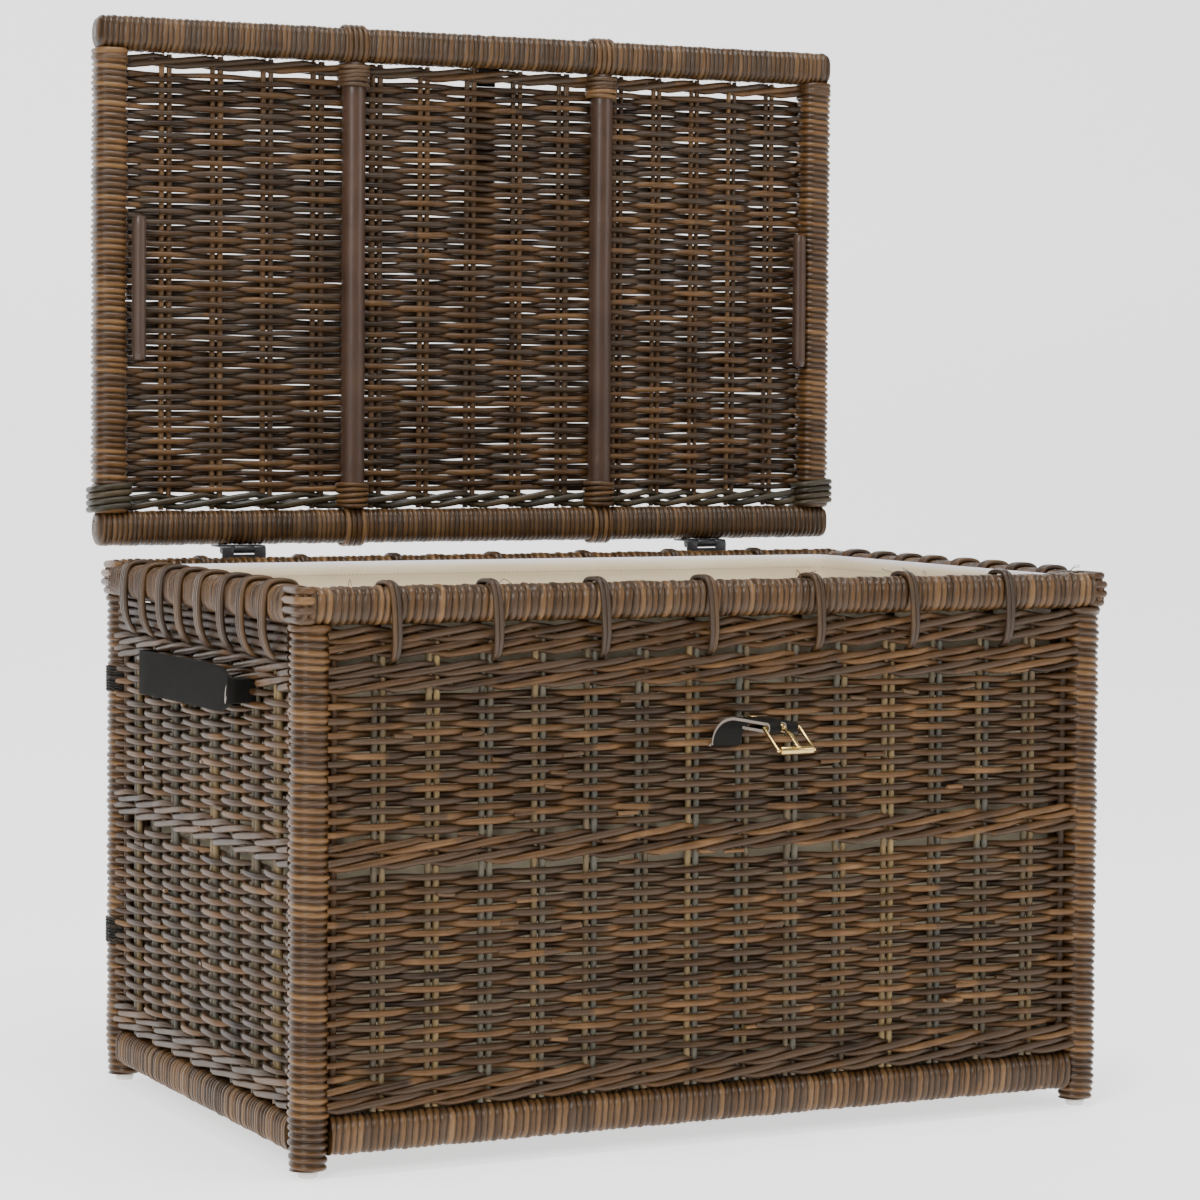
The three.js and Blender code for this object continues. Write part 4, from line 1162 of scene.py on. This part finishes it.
def rounded_ring(half_x, half_y, radius):
    """Points at even steps round a rectangle with round corners."""
    arc_length = math.pi * radius / 2
    long_x, long_y = 2 * (half_x - radius), 2 * (half_y - radius)
    total = 2 * long_x + 2 * long_y + 4 * arc_length
    sides = ((1, -1, long_y, (0, 1)), (1, 1, long_x, (-1, 0)),
             (-1, 1, long_y, (0, -1)), (-1, -1, long_x, (1, 0)))
    result = []
    for i in range(RING_POINTS):
        s = total * i / RING_POINTS
        for corner, (sx, sy, length, way) in enumerate(sides):
            cx, cy = sx * (half_x - radius), sy * (half_y - radius)
            turned = math.pi / 2 * corner
            if s <= length:
                result.append((cx + radius * math.cos(turned) + way[0] * s,
                               cy + radius * math.sin(turned) + way[1] * s))
                break
            s -= length
            if s <= arc_length:
                nx, ny = cx + way[0] * length, cy + way[1] * length
                angle = turned + s / radius
                result.append((nx + radius * math.cos(angle), ny + radius * math.sin(angle)))
                break
            s -= arc_length
    return result


def folds(x, y, height):
    """How far the cloth stands in from the wall at a place."""
    upright = noise.noise(Vector((x / 38.0, y / 38.0, height / 260.0)))
    fine = noise.noise(Vector((x / 13.0, y / 13.0, height / 60.0 + 7)))
    slant = noise.noise(Vector((x / 70.0 + height / 90.0, y / 70.0, 3.0)))
    return 1.9 + 1.5 * upright + 0.45 * fine + 1.1 * slant


half_x, half_y = (liner_high[0] - liner_low[0]) / 2, (liner_high[1] - liner_low[1]) / 2
height = liner_high[2] - liner_low[2]
rings = [(share * (half_y - 30), 0.0, 0.0) for share in (0.95, 0.75, 0.5, 0.25, 0.0)]
rings += [(0.0, z, 0.0) for z in np.linspace(8, height - HEM, 34)]
rings += [(-0.3, height - HEM + 1, 1.0), (-0.3, height - 6, 1.0), (-0.2, height - 1.0, 2.0)]
rings += [(CLOTH * 0.6, height, 2.0), (CLOTH * 1.5, height - 1.0, 2.0)]
rings += [(CLOTH * 1.6, height - 6, 1.0), (CLOTH * 1.6, height - HEM + 1, 1.0)]
rings += [(CLOTH, z, 0.0) for z in np.linspace(height - HEM, 8, 34)]
rings += [(CLOTH + share * (half_y - 30), CLOTH, 0.0) for share in (0.0, 0.25, 0.5, 0.75, 0.95)]
vertices, hems = [], []
for inset, up, hem in rings:
    shape = rounded_ring(half_x - inset, half_y - inset, max(4.0, 22.0 - inset))
    floor_ring = up < 5
    for x, y in shape:
        sag = folds(x, y, up) if not floor_ring else 0.0
        sag *= min(1.0, (height - up + 14) / 40.0) * min(1.0, up / 40.0)
        z = up
        if floor_ring and inset > 20:
            z += 0.9 * noise.noise(Vector((x / 60.0, y / 60.0, 5))) + 0.9
        limit_x, limit_y = half_x - max(inset, 0) - sag, half_y - max(inset, 0) - sag
        vertices.append((max(-limit_x, min(limit_x, x)), max(-limit_y, min(limit_y, y)), z))
        hems.append(hem)
faces = []
for r_index in range(len(rings) - 1):
    for i in range(RING_POINTS):
        j = (i + 1) % RING_POINTS
        a, b = r_index * RING_POINTS, (r_index + 1) * RING_POINTS
        faces.append((a + i, a + j, b + j, b + i))
faces.append(tuple(range(RING_POINTS - 1, -1, -1)))
faces.append(tuple((len(rings) - 1) * RING_POINTS + i for i in range(RING_POINTS)))
liner_mesh = bpy.data.meshes.new("liner_cloth")
mid_x, mid_y, _ = middle("liner")
places = [((x + mid_x) * MM, (y + mid_y) * MM, (z + liner_low[2]) * MM) for x, y, z in vertices]
liner_mesh.from_pydata(places, [], faces)
liner_mesh.attributes.new("hem", "FLOAT", "POINT").data.foreach_set("value", hems)
liner_mesh.polygons.foreach_set("use_smooth", [True] * len(liner_mesh.polygons))
liner = bpy.data.objects.new("liner_cloth", liner_mesh)
bpy.context.scene.collection.objects.link(liner)
work = bmesh.new()
work.from_mesh(liner_mesh)
bmesh.ops.triangulate(work, faces=[f for f in work.faces if len(f.verts) > 4])
bmesh.ops.recalc_face_normals(work, faces=work.faces)
work.to_mesh(liner_mesh)
work.free()
print("liner:", len(liner_mesh.vertices), "points")

# %% [markdown]
# Cotton is matte with a fine even weave. Two waves crossing at right angles give the threads,
# at just under a millimetre, and slow noise makes faint soft stains and creases. The hem's
# upper edge carries a painted lavender-white highlight, and a row of stitches shows as short
# dashes.

# %% Cotton


THREAD = 0.0009
STITCH = 0.0042


def cotton():
    t = Finish("cotton_canvas")
    hem = t.number("hem")
    xyz = t.split(t.place)
    wave = 2 * math.pi / THREAD
    along_wall = t.add(xyz["X"], xyz["Y"])
    weave = t.times(t.math("SINE", t.times(along_wall, wave)), t.math("SINE", t.times(xyz["Z"], wave)))
    slubs = t.noise(t.place, 260.0, 3.0)
    stain = t.noise(t.place, 9.0, 3.0)
    stained = t.add(t.times(stain, 0.7), t.times(slubs, 0.3))
    canvas = t.ramp(stained, [(0.78, 0.67, 0.47), (0.86, 0.77, 0.58)], (0.3, 0.75))
    # Painted highlight: where hem is 2, along the top of the hem, the canvas turns lavender-white.
    edge = t.math("MAXIMUM", t.math("SUBTRACT", hem, 1.0), 0.0)
    colour = t.mix(t.times(edge, 0.85), canvas, (0.78, 0.76, 0.84))
    dash = t.math("GREATER_THAN", t.math("FRACT", t.times(along_wall, 1 / STITCH)), 0.4)
    seam_height = (liner_high[2] - HEM + 2.2) * MM
    near = t.math("LESS_THAN", t.math("ABSOLUTE", t.math("SUBTRACT", xyz["Z"], seam_height)), 0.0005)
    stitch = t.times(dash, near)
    light = t.math("SUBTRACT", 1.0, t.times(stitch, 0.3))
    height = t.add(t.times(weave, 0.5), t.add(t.times(slubs, 0.8), t.times(stitch, 1.5)))
    return t.done(
        Base_Color=t.out("ShaderNodeHueSaturation", {"Color": colour, "Value": light}), Roughness=0.9,
        Specular_IOR_Level=0.2, Sheen_Weight=0.25, Normal=t.bump(height, 0.35, 0.0004))


liner.data.materials.append(cotton())
settle(liner, "trunk_body", "cotton", "liner")

# %% [markdown]
# ## Leather, brass, steel and nylon
# The small hard parts have their true shape already, so they are kept and only finished: a
# copy is merged, its sharp edges are bevelled by a part of a millimetre so that they catch
# the light, and it gets a material. Cut leather is pale inside, and it shows on the edges of
# every strap. An edge faces along the strap's width, so the direction a face looks in picks
# the pale colour. The edges of the handles are dyed, so theirs is dark.

# %% Materials for the small parts


def leather(name, width_axis, cut_edge=(0.34, 0.29, 0.25), shine=0.08):
    t = Finish(name)
    looks = t.split(t.out("ShaderNodeNewGeometry", output="True Normal"))[width_axis]
    rough_cut = t.noise(t.place, 700.0, 2.0)
    is_edge = t.math("GREATER_THAN", t.math("ABSOLUTE", looks), t.add(0.72, t.times(rough_cut, 0.2)))
    pores = t.out("ShaderNodeTexVoronoi", {"Vector": t.place, "Scale": 900.0}, output="Distance")
    wear = t.noise(t.place, 45.0, 5.0)
    black = t.ramp(wear, [(0.0055, 0.0053, 0.0045), (0.011, 0.0105, 0.009)], (0.3, 0.8))
    colour = t.mix(t.times(is_edge, t.add(0.55, t.times(rough_cut, 0.5))), black, cut_edge)
    return t.done(
        Base_Color=colour, Roughness=t.add(0.5, t.times(wear, 0.25)), Specular_IOR_Level=shine,
        Normal=t.bump(t.add(pores, t.times(wear, 0.8)), 0.3, 0.0003))


def hard(name, dark, light, metallic, roughness, scale=60.0, bump=0.1, specular=0.5):
    """Metal, enamel, nylon or thread: two near colours mixed by noise, with uneven gloss."""
    t = Finish(name)
    smear = t.noise(t.place, scale, 5.0, roughness=0.6)
    scratch = t.noise(t.place, scale * 12, 3.0)
    colour = t.ramp(t.add(t.times(smear, 0.75), t.times(scratch, 0.25)), (dark, light), (0.3, 0.7))
    return t.done(
        Base_Color=colour, Roughness=t.add(roughness - 0.1, t.times(smear, 0.2)), Metallic=metallic,
        Specular_IOR_Level=specular, Normal=t.bump(scratch, bump, 0.0002))


strap_leather = leather("leather_strap", "X")
handle_leather = leather("leather_handle", "Z", cut_edge=(0.03, 0.028, 0.025), shine=0.02)
brass_finish = hard("brass_polished", (0.50, 0.34, 0.12), (0.72, 0.53, 0.22), 1.0, 0.24)
steel_finish = hard(
    "steel_enamelled", (0.010, 0.010, 0.011), (0.022, 0.022, 0.023), 0.0, 0.38, specular=0.35)
raw_leather = hard("leather_raw", (0.26, 0.23, 0.20), (0.42, 0.38, 0.34), 0.0, 0.8)
binding_finish = hard("waxed_thread", (0.008, 0.008, 0.008), (0.02, 0.019, 0.017), 0.0, 0.6, specular=0.15)
nylon_finish = hard("nylon_white", (0.66, 0.65, 0.61), (0.76, 0.75, 0.71), 0.0, 0.5)
print("materials:", len(bpy.data.materials))

# %% [markdown]
# ## The small parts, and the folded handles
# Every small part goes through one function, which also says how sharp an edge has to be
# before it is bevelled. A table holds what each rides on and its bevel. A handle is folded
# narrower at its front end, where it goes back into the weave, so it is cut across at a few
# places first, and two pale creases are laid on the fold.

# %% Finish the small parts


def finished(node, finish, body, slot, bevel=0.35, smooth=35):
    mesh = bpy.data.objects[node].data.copy()
    mesh.name = node + "_finished"
    made = bpy.data.objects.new(mesh.name, mesh)
    bpy.context.scene.collection.objects.link(made)
    work = bmesh.new()
    work.from_mesh(mesh)
    bmesh.ops.remove_doubles(work, verts=work.verts, dist=0.00001)
    bmesh.ops.dissolve_limit(work, angle_limit=math.radians(1.5), verts=work.verts, edges=work.edges)
    sharp = [e for e in work.edges if len(e.link_faces) == 2 and e.calc_face_angle(0) > math.radians(smooth)]
    if bevel:
        bmesh.ops.bevel(work, geom=sharp, offset=bevel * MM, offset_type="OFFSET", segments=2, profile=0.5,
                        affect="EDGES", clamp_overlap=True)
    bmesh.ops.triangulate(work, faces=work.faces)
    work.to_mesh(mesh)
    work.free()
    mesh.polygons.foreach_set("use_smooth", [True] * len(mesh.polygons))
    mesh.set_sharp_from_angle(angle=math.radians(smooth))
    mesh.materials.clear()
    mesh.materials.append(finish)
    return settle(made, body, slot, node)


CUTS = (4, 8, 12, 17, 24, 60, 110, 160, 210)
FOLD_REACH = 26.0


def fold_front_end(piece):
    ys = [v.co.y / MM for v in piece.data.vertices]
    zs = [v.co.z / MM for v in piece.data.vertices]
    front, mid_z = min(ys), (min(zs) + max(zs)) / 2
    work = bmesh.new()
    work.from_mesh(piece.data)
    for cut in CUTS:
        everything = list(work.verts) + list(work.edges) + list(work.faces)
        place = (0, (front + cut) * MM, 0)
        bmesh.ops.bisect_plane(work, geom=everything, plane_co=place, plane_no=(0, 1, 0))
    bmesh.ops.triangulate(work, faces=work.faces)
    for vertex in work.verts:
        back = vertex.co.y / MM - front
        narrow = max(0.0, 1 - back / FOLD_REACH)
        droop = 0.6 * math.sin(back / 60.0)
        z = vertex.co.z / MM
        vertex.co.z = (mid_z + (z - mid_z) * (1 - 0.5 * narrow ** 1.1) + droop) * MM
    work.to_mesh(piece.data)
    work.free()
    return front, mid_z


CREASES = [[(0.9, 7, 8), (0.2, 11, 1), (0.2, 12, -9)], [(1.9, 4.6, 3), (0.4, 9, -5), (0.2, 12, -11)]]
for side, way in (("left", -1), ("right", 1)):
    body = "handle_" + side
    piece = finished(body, handle_leather, body, "black_leather", bevel=0.6)
    front, mid_z = fold_front_end(piece)
    face = way * max(abs(v.co.x) for v in piece.data.vertices) / MM
    paths = [soften([(face - way * x, front + y, mid_z + z) for x, y, z in crease]) for crease in CREASES]
    creases = strands("handle_creases_" + side, paths, 0.65, raw_leather, sides=5, seed=3)
    settle(creases, body, "black_leather")

for side in ("left", "right"):
    for node, body in (("leaf_body", "trunk_body"), ("pin", "trunk_body"), ("leaf_lid", "lid")):
        finished(f"hinge_{node}_{side}", steel_finish, body, "black_metal")
    for number in ("1", "2"):
        finished(f"screw_body_{side}_{number}", steel_finish, "trunk_body", "black_metal", bevel=0.2)
        finished(f"screw_lid_{side}_{number}", steel_finish, "lid", "black_metal", bevel=0.2)
for name in POSTS:
    finished("glide_" + name, nylon_finish, "trunk_body", "white_plastic", bevel=0.8)
for node, body, bevel, smooth in (
        ("latch_strap_tail", "trunk_body", 0.35, 35), ("latch_strap", "latch_strap", 0.3, 50),
        ("lid_strap_root", "lid", 0.3, 50), ("lid_strap_fold", "lid_strap_fold", 0.3, 35),
        ("lid_strap", "lid_strap", 0.3, 35)):
    finished(node, strap_leather, body, "black_leather", bevel, smooth)
for node, body, bevel in (
        ("latch_rivet", "latch_strap", 0.5), ("buckle_frame", "buckle_frame", 0),
        ("buckle_roller", "buckle_roller", 0.3), ("buckle_tongue", "buckle_tongue", 0.3)):
    finished(node, brass_finish, body, "brass", bevel)

# %% [markdown]
# ## Loose ends
# No weaver is long enough for a whole row. A new one is laid in where the old one ends, and
# the cut ends stand a little proud of the front and left walls. A few fine fibres have split
# off the rods of the front rim. They keep clear of the place where the lid's strap hangs.

# %% Cut ends
ENDS, FRONT_ENDS = 70, 52
chance = random.Random(77)
front_low, front_high = corners("woven_wall_front")
left_low = corners("woven_wall_left")[0]
end_paths, end_thick = [], []
for k in range(ENDS):
    along = chance.choice((-1, 1))
    z = chance.uniform(front_low[2] + 40, front_high[2] - 45)
    if k < FRONT_ENDS:
        x = STAKE_GAP * chance.randint(-6, 6) + chance.uniform(-6, 6)
        y = front_low[1] + 2.2
        tip = (x + along * 17, y - 0.4, z + chance.uniform(0, 2.5))
        path = [(x, y + 3.0, z), (x + along * 8, y + 0.9, z + 0.5), tip]
    else:
        x = left_low[0] + 2.2
        y = body_middle_y + END_STAKE_GAP * chance.randint(-3, 3) + chance.uniform(-6, 6)
        tip = (x - 0.4, y + along * 14, z + chance.uniform(0, 2.5))
        path = [(x + 3.0, y, z), (x + 0.9, y + along * 7, z + 0.5), tip]
    end_paths.append(soften(path, times=1))
    end_thick.append([1.0, 1.0, 1.0, 0.97, 0.94, 0.9][:len(end_paths[-1])])
cut_ends = strands("cut_ends", end_paths, 2.1, wrap_finish, sides=7, thick=end_thick, seed=78)
settle(cut_ends, "trunk_body", "rattan")

# %% Split fibres
fibre_paths = []
rim_low, rim_high = corners("rim_front")
for k in range(16):
    x = chance.uniform(rim_low[0] + 12, rim_high[0] - 12)
    if strap_low[0] - 30 < x < strap_high[0] + 30:
        x += 100
    z = rim_high[2] - 2 if k % 3 else rim_low[2] - chance.uniform(4, 20)
    y = rim_low[1] + (chance.uniform(4, 20) if k % 3 else -0.5)
    turn = chance.uniform(-1, 1)
    bent = (x + 12 * turn, y - 3, z + chance.uniform(-2, 8))
    tip = (x + 16 * turn, y - 4, z + chance.uniform(-3, 7))
    fibre_paths.append(soften([(x, y, z), (x + 5 * turn, y - 1.5, z + 4), bent, tip]))
settle(strands("fibres", fibre_paths, 0.28, wrap_finish, sides=4, seed=79), "trunk_body", "rattan")

# %% [markdown]
# ## Bindings on a back post
# Two bands of black thread are bound round the back left post, nine turns each. A turn goes
# up and down a little from stitch to stitch.

# %% Stitched bindings
BINDING_RADIUS = 17.2
binding_paths = []
centre_x, centre_y, _ = middle("post_back_left")
post_top = corners("post_back_left")[1][2]
for base in (post_top - 66, post_top - 300):
    for turn in range(9):
        z = base - turn * 2.6
        ring = []
        for i in range(24):
            angle = 2 * math.pi * i / 24
            x = centre_x + BINDING_RADIUS * math.cos(angle)
            ring.append((x, centre_y + BINDING_RADIUS * math.sin(angle), z + 1.3 * (i % 2)))
        binding_paths.append(ring)
bindings = strands("post_bindings", binding_paths, 1.0, binding_finish, closed=True, sides=6, seed=80)
settle(bindings, "trunk_body", "black_leather")
